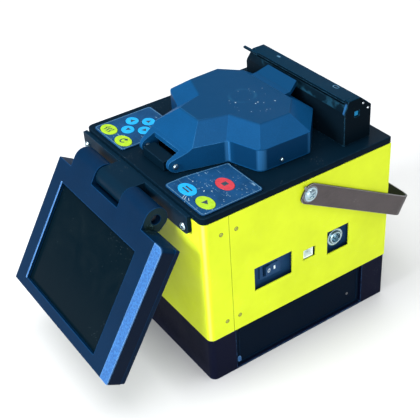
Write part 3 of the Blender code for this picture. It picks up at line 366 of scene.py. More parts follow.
def strip_plastic():
    """Pale blue trim strip with a coarse light speckle."""
    colour = (0.008, 0.053, 0.168)
    look = Look("trim_pale_blue", colour, 0.5, specular=0.18)
    speckle = look.remap(look.noise(1500.0, 2.0, 0.7), 0.38, 0.62)
    tone = look.mix(speckle, shade(colour, 0.72), shade(colour, 1.3))
    clump = look.remap(look.noise(760.0, 3.0, 0.6), 0.4, 0.66, 0.0, 0.55)
    tone = look.mix(clump, tone, (0.033, 0.14, 0.34))
    tone = look.over(tone, (0.2, 0.4, 0.65), look.edges(0.6 * MM), 0.5)
    shine = look.remap(speckle, 0.0, 1.0, 0.58, 0.42)
    return look.finish(tone, shine, speckle, 0.04 * MM, 0.5)


def screen_glass():
    """Display window, switched off: near black with smears, hair scratches and specks."""
    colour = (0.0009, 0.004, 0.0068)
    look = Look("display_window", colour, 0.16, specular=0.015)
    smear = look.remap(look.noise(34.0, 5.0, 0.65, distortion=1.2), 0.42, 0.72)
    tone = look.mix(look.times(smear, 0.5), colour, (0.0018, 0.0055, 0.008))
    line = look.scratches(1300.0, (0.4, 0.9, 0.3), 0.235, 22.0)
    tone = look.over(tone, (0.03, 0.045, 0.055), line, 0.35)
    tone = look.over(tone, (0.08, 0.11, 0.125), look.specks(520.0, 0.12, 0.4), 0.7)
    shine = look.remap(smear, 0.0, 1.0, 0.12, 0.3)
    return look.finish(tone, shine, smear, 0.01 * MM, 0.12)


def lcd_glass():
    """Face of the display panel behind the window, with its fine dot rows."""
    colour = (0.004, 0.007, 0.01)
    look = Look("display_panel", colour, 0.35, specular=0.3)
    dots = look.remap(look.cells(3200.0, randomness=0.0), 0.3, 0.5)
    tone = look.mix(dots, shade(colour, 1.6), shade(colour, 0.6))
    return look.finish(tone, look.remap(dots, 0.0, 1.0, 0.3, 0.42), dots, 0.01 * MM, 0.2)


def keypad_film():
    """Printed film with a satin face, rubbed hair scratches and white dots where it is worn."""
    colour = (0.0042, 0.033, 0.09)
    look = Look("keypad_printed_film", colour, 0.34, specular=0.05)
    cloud = look.remap(look.noise(46.0, 4.0, 0.6), 0.35, 0.68)
    tone = look.mix(cloud, shade(colour, 0.72), shade(colour, 1.16))
    first = look.scratches(700.0, (0.0, 0.0, 0.7), 0.33, 16.0, 0.6)
    second = look.scratches(620.0, (0.0, 0.0, -1.1), 0.335, 12.0, 0.9)
    worn = look.times(look.math("MAXIMUM", first, second), 0.85)
    tone = look.mix(worn, tone, (0.1, 0.18, 0.25))
    tone = look.over(tone, (0.22, 0.3, 0.35), look.specks(430.0, 0.17, 0.53), 0.85)
    film = look.noise(1500.0, 2.0)
    return look.finish(tone, look.remap(film, 0.3, 0.7, 0.27, 0.44), film, 0.012 * MM, 0.3)


def key_film(name, colour):
    """Domed printed key: darker inked edge and slightly patchy ink."""
    look = Look(name, colour, 0.36, specular=0.08)
    patch = look.remap(look.noise(330.0, 4.0, 0.65), 0.34, 0.68)
    tone = look.mix(patch, shade(colour, 0.86), shade(colour, 1.12))
    tone = look.over(tone, shade(colour, 0.5), look.edges(0.5 * MM), 0.55)
    tone = look.over(tone, (0.32, 0.35, 0.33), look.specks(900.0, 0.14, 0.42), 0.5)
    grain = look.noise(2100.0, 2.0)
    return look.finish(tone, look.remap(patch, 0.0, 1.0, 0.3, 0.44), grain, 0.012 * MM, 0.3)


def bare_metal(name, colour, roughness, brushed=(1.0, 1.0, 1.0), stain=(0.2, 0.2, 0.22)):
    """Metal with fine tool marks, a patchy polish and darker handling stains."""
    look = Look(name, colour, roughness, metallic=1.0)
    lines = look.noise(900.0, 3.0, 0.6, look.stretched(brushed))
    stains = look.remap(look.noise(140.0, 5.0, 0.65), 0.5, 0.75, 0.0, 0.5)
    tone = look.mix(stains, shade(colour, 1.05), stain)
    tone = look.mix(look.remap(lines, 0.35, 0.65, 0.0, 0.35), tone, shade(colour, 0.72))
    shine = look.remap(lines, 0.3, 0.7, roughness - 0.07, roughness + 0.12)
    return look.finish(tone, shine, lines, 0.012 * MM, 0.35)


def aluminium(name, tone, roughness=0.34):
    """Milled and anodised aluminium: fine parallel cutter marks and darker handling stains."""
    return bare_metal(name, shade((0.96, 0.98, 1.0), tone), roughness, (1.0, 0.05, 1.0),
                      shade((0.5, 0.52, 0.55), tone))


def strap_paint():
    """Brown-grey coated steel strap, rubbed pale on its edges, with painted shade on its inner
    faces.
    """
    colour = (0.053, 0.044, 0.045)
    look = Look("strap_brown_grey", colour, 0.4, specular=0.2)
    cloud = look.remap(look.noise(60.0, 5.0, 0.62), 0.32, 0.7)
    tone = look.mix(cloud, shade(colour, 0.78), shade(colour, 1.2))
    drag = look.noise(1.0, 3.0, 0.6, look.stretched((1500.0, 130.0, 1500.0)))
    grainy = look.remap(drag, 0.35, 0.65, 0.0, 0.35)
    tone = look.mix(grainy, tone, shade(colour, 1.6))
    rubbed = look.times(look.edges(0.6 * MM), 0.85)
    tone = look.mix(rubbed, tone, (0.3, 0.3, 0.32))
    tone = look.over(tone, (0.35, 0.35, 0.36), look.specks(700.0, 0.15, 0.42), 0.6)
    # painted shade on the strap's inner faces, found from their distance to the pivot
    screw_low, screw_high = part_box("handle_screw_right")
    pivot = (screw_low + screw_high) / 2
    corners = frame["nodes"]["carry_handle"].data.vertices
    reach = max((corner.co - pivot).yz.length for corner in corners)
    side_view = look.vectors("MULTIPLY", look.place, (0.0, 1.0, 1.0))[0]
    gap = look.vectors("DISTANCE", side_view, (0.0, pivot.y, pivot.z))["Value"]
    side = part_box("carry_handle")[1].x
    inside = look.times(look.remap(gap, reach - 0.8 * MM, reach - 1.1 * MM),
                        look.band("X", -side + 0.9 * MM, side - 0.9 * MM, 0.2 * MM))
    tone = look.over(tone, (0.002, 0.006, 0.009), inside, 0.85)
    shine = look.remap(cloud, 0.0, 1.0, 0.33, 0.5)
    return look.finish(tone, shine, look.noise(950.0, 3.0), 0.03 * MM, 0.4)


def socket_plastic():
    colour = (0.88, 1.0, 0.96)
    look = Look("socket_mint_white", colour, 0.38, specular=0.45)
    cloud = look.remap(look.noise(300.0, 4.0), 0.35, 0.7)
    tone = look.mix(cloud, shade(colour, 0.86), shade(colour, 1.06))
    tone = look.over(tone, (0.5, 0.62, 0.6), look.edges(0.4 * MM), 0.4)
    return look.finish(tone, None, look.noise(1900.0, 2.0), 0.015 * MM, 0.3)


def circuit_board():
    """Green solder mask with a lattice of copper tracks below it and tinned pads."""
    colour = (0.006, 0.07, 0.028)
    look = Look("solder_mask_green", colour, 0.32, specular=0.5, coat=0.3)
    blocks = look.cells(240.0, look.stretched((1.0, 1.0, 1.0), (0.0, 0.0, 0.785)), 0.6)
    tracks = look.remap(look.math("PINGPONG", blocks, 0.16), 0.09, 0.11)
    tone = look.mix(tracks, colour, shade(colour, 2.1))
    pads = look.remap(look.cells(300.0, randomness=0.35), 0.17, 0.14)
    tone = look.mix(pads, tone, (0.6, 0.6, 0.55))
    return look.finish(tone, None, look.plus(tracks, pads), 0.05 * MM, 0.6)


def ceramic():
    colour = (0.42, 0.4, 0.35)
    look = Look("off_white_ceramic", colour, 0.3, specular=0.5)
    cloud = look.remap(look.noise(520.0, 5.0, 0.7), 0.35, 0.7)
    tone = look.mix(cloud, shade(colour, 0.88), shade(colour, 1.08))
    return look.finish(tone, None, look.noise(2300.0, 3.0), 0.02 * MM, 0.35)


def battery_plastic():
    """Teal-black moulded plastic with a fine grain and a faint lengthwise drag."""
    colour = (0.0008, 0.0042, 0.0115)
    look, tone, shine, pebble = moulded("battery_teal_black", colour, 0.46, 0.02, 1900.0, 3.0)
    return look.finish(tone, shine, pebble, 0.03 * MM, 0.5)


def ink(name, colour, fade):
    """Screen-printed ink: slightly patchy and thinner in places."""
    look = Look(name, colour, 0.5, specular=0.3)
    patch = look.remap(look.noise(900.0, 4.0, 0.7), 0.42, 0.68)
    tone = look.mix(patch, colour, fade)
    return look.finish(tone, look.remap(patch, 0.0, 1.0, 0.42, 0.6), patch, 0.008 * MM, 0.3)


SLOT_LOOKS = {
    "yellow_paint": yellow_paint(),
    "black_paint": plain_paint("deck_satin_black", (0.0009, 0.0056, 0.0115), 0.36, 0.018,
                               (0.01, 0.035, 0.065), 0.6),
    "cover_plastic": cover_plastic(),
    "monitor_plastic": monitor_plastic(),
    "strip_plastic": strip_plastic(),
    "screen_glass": screen_glass(),
    "keypad_film": keypad_film(),
    "key_yellow_green": key_film("key_ink_yellow_green", (0.2, 0.32, 0.014)),
    "key_light_blue": key_film("key_ink_light_blue", (0.008, 0.2, 0.42)),
    "key_red": key_film("key_ink_red", (0.29, 0.026, 0.036)),
    "chrome": bare_metal("bright_chrome", (0.72, 0.77, 0.82), 0.17, stain=(0.3, 0.34, 0.38)),
    "steel": bare_metal("plain_steel", (0.2, 0.21, 0.23), 0.36, (0.06, 1.0, 1.0)),
    "aluminium": aluminium("machined_aluminium", 0.13),
    "strap_paint": strap_paint(),
    "socket_plastic": socket_plastic(),
    "circuit_board": circuit_board(),
    "ceramic": ceramic(),
    "battery_plastic": battery_plastic(),
}
NICKEL = bare_metal("bluish_nickel", (0.4, 0.54, 0.6), 0.26, stain=(0.07, 0.12, 0.15))
PORT = plain_paint("port_panel_navy", (0.011, 0.048, 0.125), 0.5, 0.1, (0.05, 0.12, 0.22), 0.3)
NODE_LOOKS = {                      # pieces that don't wear the plain look of their slot
    # tray edges paler: partly rubbed wear, partly a painted edge highlight
    "base_tray": plain_paint("tray_purple_black", (0.0029, 0.0042, 0.0145), 0.44, 0.03,
                             (0.03, 0.1, 0.24), 0.85),
    "lcd_panel": lcd_glass(),
    # the deck's black made bluer here as a painted bluish reflection
    "monitor_bracket": plain_paint("bracket_blue_black", (0.0011, 0.0082, 0.0175), 0.36, 0.025,
                                   (0.01, 0.04, 0.075), 0.6),
    "splice_frame": aluminium("dark_anodised_plate", 0.028, 0.4),
    "clamp_lid_right": aluminium("grey_anodised_lid", 0.07),
    "clamp_lid_left": aluminium("grey_anodised_lid_left", 0.07),
    "heater_trough": aluminium("trough_aluminium", 0.09, 0.4),
    **dict.fromkeys(("heater_base", "heater_lid"), heater_paint()),
    **dict.fromkeys(("port_panel", "switch_housing", "rocker_button"), PORT),
    **dict.fromkeys(("cover_pin_right", "cover_pin_left", "cover_catch", "dc_jack", "dc_jack_nut",
                     "handle_screw_right", "handle_screw_left", "bracket_screw_right",
                     "bracket_screw_left"), NICKEL),
}
WHITE_INK = ink("white_ink", (0.3, 0.36, 0.4), (0.14, 0.2, 0.25))
PALE_INK = ink("pale_outline_ink", (0.075, 0.17, 0.24), (0.02, 0.07, 0.13))
DARK_INK = ink("dark_ink", (0.003, 0.012, 0.025), (0.02, 0.04, 0.05))
BRIGHT_INK = ink("bright_mark", (0.75, 0.88, 0.95), (0.5, 0.65, 0.75))
FADED_INK = ink("faded_blue_ink", (0.03, 0.11, 0.19), (0.004, 0.03, 0.055))
# painted shadow: ring round each countersunk head and the floor of its slot
SINK = ink("countersink_shadow", (0.012, 0.014, 0.006), (0.03, 0.034, 0.01))
SCREW_PAINT = plain_paint("screw_yellow_paint", (0.3, 0.33, 0.03), 0.4, 0.2,
                          (0.5, 0.55, 0.2), 0.6)


# ---------------------------------------------------------------- the CAD nodes

CREASE = 24.0                       # edges that turn by more than this, in degrees, are rounded
COVER_CREASE = 9.0                  # the cover's facets meet at flat angles
USUAL_ROUNDING = 0.25               # mm
ROUNDINGS = {                       # edge rounding in mm of the pieces that differ from the usual
    "monitor_back": 0.6,
    "wind_cover": 0.5,
    "monitor_bezel": 0.45,
    "monitor_bracket": 0.4,
    "usb_socket": 0.2,
    **dict.fromkeys(("top_deck", "base_tray", "battery_pack"), 0.35),
    **dict.fromkeys(("heater_base", "heater_lid", "carry_handle", "cover_hinge_block",
                     "monitor_strip", "switch_housing"), 0.3),
    **dict.fromkeys(("screen_window", "lcd_panel", "mainboard", "power_board"), 0.1),
    **dict.fromkeys(("keypad_left", "keypad_right"), 0.0),
}


def soften_edges(node, width, crease=CREASE):
    """Rounded, evenly lit edges on a piece, by modifiers only."""
    for polygon in node.data.polygons:
        polygon.use_smooth = True
    if "custom_normal" in node.data.attributes:
        node.data.attributes.remove(node.data.attributes["custom_normal"])
    weld = node.modifiers.new("weld", "WELD")
    weld.merge_threshold = WELD_GAP
    if width > 0:
        bevel = node.modifiers.new("edges", "BEVEL")
        bevel.width = width
        bevel.segments = 2
        bevel.limit_method = "ANGLE"
        bevel.angle_limit = math.radians(crease)
    node.modifiers.new("normals", "WEIGHTED_NORMAL").weight = 90


for node_name, node in frame["nodes"].items():
    look = NODE_LOOKS.get(node_name, SLOT_LOOKS[NODE_SLOT[node_name]])
    node.data.materials.clear()
    node.data.materials.append(look)
    crease = COVER_CREASE if node_name == "wind_cover" else CREASE
    soften_edges(node, ROUNDINGS.get(node_name, USUAL_ROUNDING) * MM, crease)


# ---------------------------------------------------------------- building blocks

def frame_of(origin, out, up):
    """Matrix with its Z along out, its Y as near to up as it can be, and its origin at a point."""
    normal = Vector(out).normalized()
    side = Vector(up).cross(normal).normalized()
    upright = normal.cross(side)
    rotation = Matrix((side, upright, normal)).transposed().to_4x4()
    return Matrix.Translation(origin) @ rotation


def add_object(name, data):
    made = bpy.data.objects.new(name, data)
    scene.collection.objects.link(made)
    return made


def add_piece(name, mesh, place, body, slot, material=None, smooth_angle=35.0):
    """Puts a finished mesh in the scene, in its slot's look or another, and on a body."""
    mesh.transform(place)
    for polygon in mesh.polygons:
        polygon.use_smooth = True
    mesh.set_sharp_from_angle(angle=math.radians(smooth_angle))
    mesh.materials.append(material or SLOT_LOOKS[slot])
    made = add_object(name, mesh)
    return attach(made, body)


def mesh_from(bm, name):
    bmesh.ops.recalc_face_normals(bm, faces=bm.faces)
    mesh = bpy.data.meshes.new(name)
    bm.to_mesh(mesh)
    bm.free()
    return mesh


def add_built(name, bm, place, body, slot, material=None):
    return add_piece(name, mesh_from(bm, name), place, body, slot, material)


def add_slab(bm, outline, low, high):
    """Closed prism over a flat outline of (x, y), between two heights."""
    bottom = [bm.verts.new((x, y, low)) for x, y in outline]
    top = [bm.verts.new((x, y, high)) for x, y in outline]
    bm.faces.new(bottom[::-1])
    bm.faces.new(top)
    for i, start in enumerate(bottom):
        follow = (i + 1) % len(bottom)
        bm.faces.new((start, bottom[follow], top[follow], top[i]))


def add_ribbon(bm, points, width, low, high, closed=False):
    """Closed flat ribbon of even width along a path of (x, y)."""
    path = [Vector(point) for point in points]
    count = len(path)
    sides = []
    for i, point in enumerate(path):
        before = path[i - 1] if closed or i > 0 else path[i]
        after = path[(i + 1) % count] if closed or i < count - 1 else path[i]
        along = (after - before).normalized()
        across = Vector((-along.y, along.x)) * width / 2
        sides.append((point + across, point - across))
    rings = [[bm.verts.new((*corner, height)) for corner, height in
              ((left, low), (right, low), (right, high), (left, high))] for left, right in sides]
    for i in range(count if closed else count - 1):
        ring, following = rings[i], rings[(i + 1) % count]
        for k in range(4):
            bm.faces.new((ring[k], ring[(k + 1) % 4], following[(k + 1) % 4], following[k]))
    if not closed:
        bm.faces.new(rings[0])
        bm.faces.new(rings[-1][::-1])


def turn_profile(profile, segments=28):
    """Mesh of a profile (radius, height) turned about Z; its ends lie on the axis."""
    bm = bmesh.new()
    rings = []
    for radius, height in profile:
        if radius < 1e-9:
            rings.append([bm.verts.new((0, 0, height))])
            continue
        angles = (math.tau * i / segments for i in range(segments))
        circle = [(radius * math.cos(a), radius * math.sin(a), height) for a in angles]
        rings.append([bm.verts.new(point) for point in circle])
    for lower, upper in zip(rings, rings[1:]):
        for i in range(segments):
            follow = (i + 1) % segments
            corners = (lower[i % len(lower)], lower[follow % len(lower)],
                       upper[follow % len(upper)], upper[i % len(upper)])
            bm.faces.new(list(dict.fromkeys(corners)))
    return bm


def arc_points(centre, radius, start, end, steps):
    """Points on an arc, angles in degrees."""
    turns = (math.radians(start + (end - start) * i / steps) for i in range(steps + 1))
    return [(centre[0] + radius * math.cos(a), centre[1] + radius * math.sin(a)) for a in turns]


def rectangle(half_x, half_y):
    return [(-half_x, -half_y), (half_x, -half_y), (half_x, half_y), (-half_x, half_y)]


def round_rectangle(half_x, half_y, radius):
    points = []
    for x, y, start in ((1, 1, 0), (-1, 1, 90), (-1, -1, 180), (1, -1, 270)):
        centre = (x * (half_x - radius), y * (half_y - radius))
        points += arc_points(centre, radius, start, start + 90, 5)
    return points


def carve(mesh, cutters, name):
    """The mesh less the cutters, as a new mesh."""
    target = add_object("carve_target", mesh)
    made = [add_object("carve_cutter", cutter) for cutter in cutters]
    for cutter in made:
        target.modifiers.new("cut", "BOOLEAN").object = cutter
    bpy.context.view_layer.update()
    evaluated = target.evaluated_get(bpy.context.evaluated_depsgraph_get())
    result = bpy.data.meshes.new_from_object(evaluated)
    result.name = name
    for used in (target, *made):
        bpy.data.objects.remove(used)
    return result


def bar_cutters(reach, half_width, low, high, turns, place=Matrix()):
    """A bar at each turn, in degrees: one cuts a slot, two cut a cross."""
    cutters = []
    for turn in turns:
        bm = bmesh.new()
        add_slab(bm, rectangle(reach, half_width), low, high)
        cutter = mesh_from(bm, "cutter")
        cutter.transform(place @ Matrix.Rotation(math.radians(turn), 4, "Z"))
        cutters.append(cutter)
    return cutters


def screw_head(name, radius, rise, recess, turn):
    """Low domed screw head with a cross, or a slot right across it."""
    profile = [(0, 0), (radius, 0), (radius, rise * 0.35), (radius * 0.86, rise * 0.75),
               (radius * 0.55, rise), (0, rise * 1.05)]
    head = mesh_from(turn_profile(profile), name)
    reach, turns = radius * 1.3, (turn,)
    if recess == "cross":
        reach, turns = radius * 0.62, (turn, turn + 90)
    depth = rise * 0.75
    return carve(head, bar_cutters(reach, radius * 0.13, rise - depth, rise * 3, turns), name)


def add_screw(name, place, body, radius, rise, recess="slot", turn=25, slot="chrome"):
    mesh = screw_head(name, radius, rise, recess, turn)
    add_piece(name, mesh, place, body, slot)


def above(node, face):
    """Place over the middle of a node, on the top of a face."""
    low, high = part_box(node)
    centre = (low + high) / 2
    centre.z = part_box(face)[1].z
    return frame_of(centre, Z_AXIS, Y_AXIS)


def flat_faces(node, direction):
    """Centre and normal of a node's flat faces that look along a direction, largest first."""
    groups = {}
    for polygon in frame["nodes"][node].data.polygons:
        if polygon.normal.dot(direction) > 0.8:
            key = tuple(round(value, 2) for value in polygon.normal)
            area, weighted = groups.get(key, (0.0, Vector()))
            groups[key] = (area + polygon.area, weighted + polygon.center * polygon.area)
    ordered = sorted(groups.items(), key=lambda item: -item[1][0])
    return [(weighted / area, Vector(key).normalized()) for key, (area, weighted) in ordered]


def top_rim(node):
    """Outer outline of a flat CAD piece's top, as (x, y) in order."""
    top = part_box(node)[1].z
    mesh = frame["nodes"][node].data
    used = {}                       # the top's edges, in order: the outline uses each one way only
    for polygon in mesh.polygons:
        corners = [mesh.vertices[i].co for i in polygon.vertices]
        if min(corner.z for corner in corners) < top - LIFT:
            continue
        ends = [(round(corner.x, 6), round(corner.y, 6)) for corner in corners]
        for start, end in zip(ends, ends[1:] + ends[:1]):
            used[(start, end)] = True
    follow = {start: end for start, end in used if (end, start) not in used}
    loops = []
    while follow:
        start = next(iter(follow))
        loop = [start]
        while loop[-1] in follow:
            loop.append(follow.pop(loop[-1]))
        loops.append(loop[:-1])
    return max(loops, key=lambda loop: max(x for x, y in loop) - min(x for x, y in loop))


def moved_in(outline, distance):
    """A counter-clockwise outline with every side moved inwards."""
    points = [Vector(point) for point in outline]
    moved = []
    for i, point in enumerate(points):
        before = (point - points[i - 1]).normalized()
        after = (points[(i + 1) % len(points)] - point).normalized()
        inward = Vector((-before.y - after.y, before.x + after.x)).normalized()
        moved.append(point + inward * distance / max(inward.dot(Vector((-after.y, after.x))), 0.4))
    return moved


# ---------------------------------------------------------------- keypads

def print_shapes(name, shapes, place, body, slot, material=None, height=PRINT):
    """One printed or raised mark on a face, made of slabs and ribbons, as a single mesh."""
    bm = bmesh.new()
    for kind, *arguments in shapes:
        if kind == "slab":
            add_slab(bm, arguments[0], -LIFT, height)
        else:
            points, width, closed = arguments
            add_ribbon(bm, points, width, -LIFT, height, closed)
    add_built(name, bm, place, body, slot, material)


def arrow_symbol(turn):
    """Solid triangle that points along +Y before it is turned."""
    size = 2.2 * MM
    angle = math.radians(turn)
    corners = ((0, size), (-size * 0.95, -size * 0.7), (size * 0.95, -size * 0.7))
    spun = [(x * math.cos(angle) - y * math.sin(angle), x * math.sin(angle) + y * math.cos(angle))
            for x, y in corners]
    return [("slab", spun)]


def bar(x0, y0, x1, y1, width):
    return ("ribbon", [(x0 * MM, y0 * MM), (x1 * MM, y1 * MM)], width * MM, False)


def ring(radius, width):
    return ("ribbon", arc_points((0, 0), radius * MM, 0, 345, 23), width * MM, True)


def symbol_menu():
    return [bar(-3.9, y, 3.9, y, 1.3) for y in (-1.35, 1.35)]


def symbol_stop():
    half = 2.1 * MM
    return [("slab", rectangle(half, half))]


def symbol_start():
    size = 2.5 * MM
    return [("slab", [(-size * 0.7, -size), (size * 1.2, 0), (-size * 0.7, size)])]


def symbol_heat():
    """Three rising waves."""
    shapes = []
    for x in (-2.8, 0.0, 2.8):
        path = [((x + 0.6 * math.sin(step)) * MM, (step * 0.6 - 2.7) * MM) for step in range(10)]
        shapes.append(("ribbon", path, 1.05 * MM, False))
    return shapes


def symbol_reset():
    """Turning arrow, open at the top right."""
    path = arc_points((0, 0), 2.4 * MM, 80, 350, 18)
    x, y = path[0]
    head = [(x + 2.0 * MM, y), (x - 0.6 * MM, y + 1.8 * MM), (x - 0.6 * MM, y - 1.8 * MM)]
    return [("ribbon", path, 1.1 * MM, False), ("slab", head)]


def build_key_marks():
    marks = {
        "key_menu": symbol_menu(),
        "key_stop": symbol_stop(),
        "key_start": symbol_start(),
        "key_heat": symbol_heat(),
        "key_reset": symbol_reset(),
    }
    for i, turn in enumerate((90, 180, 0, -90)):
        marks["key_arrow_%d" % (i + 1)] = arrow_symbol(turn)
    for key, shapes in marks.items():
        print_shapes(key + "_symbol", shapes, above(key, key), key, NODE_SLOT[key], DARK_INK)


ICON_STROKES = (                    # start, end and width in mm, from the menu key's centre
    (4.6, -5.4, 7.0, -9.0, 0.4),
    (6.4, -5.0, 8.6, -8.2, 0.4),
    (9.4, -5.2, 11.8, -6.6, 0.4),
    (8.2, 8.6, 9.6, 7.2, 0.5),
    (11.8, 12.0, 12.8, 12.0, 0.8),
    (-6.4, 8.8, -5.6, 8.0, 0.6),
)


def build_film_prints():
    """Pale outline round each film and small worn icons beside the menu key."""
    for side in ("left", "right"):
        film = "keypad_" + side
        level = Matrix.Translation((0, 0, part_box(film)[1].z))
        border = ("ribbon", moved_in(top_rim(film), 0.9 * MM), 0.32 * MM, True)
        print_shapes(film + "_outline", [border], level, "chassis", "keypad_film", PALE_INK)
    icons = [bar(*stroke) for stroke in ICON_STROKES]
    place = above("key_menu", "keypad_right")
    print_shapes("keypad_right_icons", icons, place, "chassis", "keypad_film", WHITE_INK)


# ---------------------------------------------------------------- body and base

SIDE_SCREWS = (                     # y and z in mm, and the slot's turn in degrees
    (-70.2, 131.6, 35),
    (-57.5, 131.1, 40),
    (-69.1, 52.5, 30),
    (-57.8, 52.7, 25),
)
REAR_SCREW_INSET = 8 * MM


def build_panel_screws():
    """Slotted countersunk screws beside both seams and in the rear panel's corners."""
    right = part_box("side_panel_right")[1].x
    for side, sign in SIDES:
        for i, (y, z, turn) in enumerate(SIDE_SCREWS):
            place = frame_of((sign * right, y * MM, z * MM), X_AXIS * sign, Z_AXIS)
            add_countersunk("side_screw_%s_%d" % (side, i + 1), place, turn)
    low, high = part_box("rear_panel")
    corners = itertools.product((low.x + REAR_SCREW_INSET, high.x - REAR_SCREW_INSET),
                                (low.z + REAR_SCREW_INSET, high.z - REAR_SCREW_INSET))
    for i, (x, z) in enumerate(corners):
        place = frame_of((x, high.y, z), Y_AXIS, Z_AXIS)
        add_countersunk("rear_screw_%d" % (i + 1), place, 20 + 35 * i)


def add_countersunk(name, place, turn):
    """Flat slotted head, with a painted shadow ring round it and painted shade on the floor of its
    slot.
    """
    radius = 1.35 * MM
    rim = radius + 0.3 * MM
    head = screw_head(name, radius, 0.3 * MM, "slot", turn)
    add_piece(name, head, place, "chassis", "steel", SCREW_PAINT)
    shadow = turn_profile([(radius, -LIFT), (rim, -LIFT), (rim, 0.06 * MM), (radius, 0.1 * MM),
                           (radius, -LIFT)])
    angle = math.radians(turn)
    along = Vector((math.cos(angle), math.sin(angle))) * (radius - 0.1 * MM)
    add_ribbon(shadow, [-along, along], 0.75 * MM, -LIFT, 0.22 * MM)
    add_built(name + "_shadow", shadow, place, "chassis", "yellow_paint", SINK)


def build_rocker_marks():
    """A ring and a bar, one on each half of the rocker's V face."""
    halves = sorted(flat_faces("rocker_button", X_AXIS)[:2], key=lambda face: face[0].y)
    marks = (("rocker_off", [ring(1.35, 0.55)]), ("rocker_on", [bar(0, -1.5, 0, 1.5, 1.4)]))
    for (centre, normal), (name, shapes) in zip(halves, marks):
        place = frame_of(centre, normal, Z_AXIS)
        print_shapes(name, shapes, place, "rocker", "black_paint", BRIGHT_INK)


def build_battery_details():
    """Raised border, one screw and a small latch tab on the battery's outer face."""
    low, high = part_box("battery_pack")
    inset = 3 * MM
    outline = round_rectangle((high.y - low.y) / 2 - inset, (high.z - low.z) / 2 - inset, 2 * MM)
    border = [("ribbon", outline, 0.7 * MM, True)]
    place = frame_of((high.x, (low.y + high.y) / 2, (low.z + high.z) / 2), X_AXIS, Z_AXIS)
    print_shapes("battery_border", border, place, "battery", "battery_plastic", height=0.25 * MM)
    place = frame_of((high.x, 48.2 * MM, 15.7 * MM), X_AXIS, Z_AXIS)
    add_screw("battery_screw", place, "battery", 1.1 * MM, 0.3 * MM, "cross", slot="steel")
    tab = bmesh.new()
    add_slab(tab, round_rectangle(1.3 * MM, 2.4 * MM, 0.9 * MM), -LIFT, 0.8 * MM)
    place = frame_of((high.x, low.y + 2.2 * MM, 7.6 * MM), X_AXIS, Z_AXIS)
    add_built("battery_latch_tab", tab, place, "battery", "strip_plastic")


# ---------------------------------------------------------------- screws with a recess

def recess_node(node, place, reach, half_width, depth, turn):
    """Stands a copy of a CAD screw, with a cross cut in its head, in the node's place."""
    welded = bmesh.new()
    welded.from_mesh(frame["nodes"][node].data)
    bmesh.ops.remove_doubles(welded, verts=welded.verts, dist=WELD_GAP)
    target = mesh_from(welded, node + "_cut")
    cutters = bar_cutters(reach, half_width, -depth, 2 * MM, (turn, turn + 90), place)
    mesh = carve(target, cutters, node + "_cut")
    mesh.materials.clear()
    body = frame["nodes"][node]["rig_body"]
    made = add_piece(node + "_cut", mesh, Matrix(), body, "chrome", NICKEL, 50.0)
    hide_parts(node)


def build_recesses():
    for side, sign in SIDES:
        node = "handle_screw_" + side
        low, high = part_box(node)
        tip = (high.x if sign > 0 else low.x, (low.y + high.y) / 2, (low.z + high.z) / 2)
        place = frame_of(tip, X_AXIS * sign, Z_AXIS)
        recess_node(node, place, 2.6 * MM, 0.5 * MM, 1.1 * MM, 30)
        node = "bracket_screw_" + side
        low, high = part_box(node)
        tip = ((low.x + high.x) / 2, low.y, (low.z + high.z) / 2)
        place = frame_of(tip, -Y_AXIS, Z_AXIS)
        recess_node(node, place, 1.7 * MM, 0.35 * MM, 0.9 * MM, 15)


# ---------------------------------------------------------------- handle and heater

WASHER = ((4.0, 0.0), (6.7, 0.0), (6.7, 0.18), (6.2, 0.28), (4.0, 0.28), (4.0, 0.0))    # mm


def build_handle_details():
    """Dark washer under each pivot screw and a small plated clip on the strap's tail."""
    low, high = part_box("handle_screw_right")
    y, z = (low.y + high.y) / 2, (low.z + high.z) / 2
    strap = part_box("carry_handle")[1].x
    for side, sign in SIDES:
        out = X_AXIS * sign
        washer = turn_profile([(radius * MM, height * MM) for radius, height in WASHER], 36)
        place = frame_of((sign * strap, y, z), out, Z_AXIS)
        add_built("handle_washer_" + side, washer, place, "carry_handle", "steel")
        clip = bmesh.new()
        add_slab(clip, round_rectangle(1.1 * MM, 1.9 * MM, 0.6 * MM), -LIFT, 0.9 * MM)
        place = frame_of((sign * strap, y - 4.4 * MM, z + 6.4 * MM), out, (0, -0.45, 0.9))
        made = add_built("handle_clip_" + side, clip, place, "carry_handle", "steel")
        soften_edges(made, 0.25 * MM)


HEATER_END_SCREWS = ((65.0, 180.6), (69.8, 175.4))      # y and z in mm


def build_heater_details():
    """Two worn marks on the lid, the blue sleeve end in the end slot and the end's screws."""
    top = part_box("heater_lid")[1].z
    spot = ("slab", round_rectangle(1.9 * MM, 0.9 * MM, 0.7 * MM))
    loop = ("ribbon", round_rectangle(2.4 * MM, 1.5 * MM, 1.2 * MM), 0.5 * MM, True)
    for side, shape, x, y in (("left", spot, -20.0, 58.0), ("right", loop, 46.6, 59.3)):
        place = Matrix.Translation((x * MM, y * MM, top))
        print_shapes("lid_mark_" + side, [shape], place, "heater_lid", "black_paint", FADED_INK)
    sleeve = bmesh.new()
    add_slab(sleeve, round_rectangle(2.1 * MM, 2.1 * MM, 0.4 * MM), -LIFT, 3.3 * MM)
    place = frame_of((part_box("heater_trough")[1].x, 59.5 * MM, 173.7 * MM), X_AXIS, Z_AXIS)
    add_built("heater_sleeve_end", sleeve, place, "chassis", "key_light_blue")
    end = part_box("heater_base")[1].x
    for i, (y, z) in enumerate(HEATER_END_SCREWS):
        place = frame_of((end, y * MM, z * MM), X_AXIS, Z_AXIS)
        add_screw("heater_screw_%d" % (i + 1), place, "chassis", 0.9 * MM, 0.3 * MM)


# ---------------------------------------------------------------- monitor

SCREEN_FLOOR = -9.4 * MM            # face behind the lip, from the hinge, in the monitor's own Y
MONITOR_BACK = 6.9 * MM
BACK_SCREWS = ((-66, -17), (66, -17), (-66, -108), (66, -108))      # x and z in mm


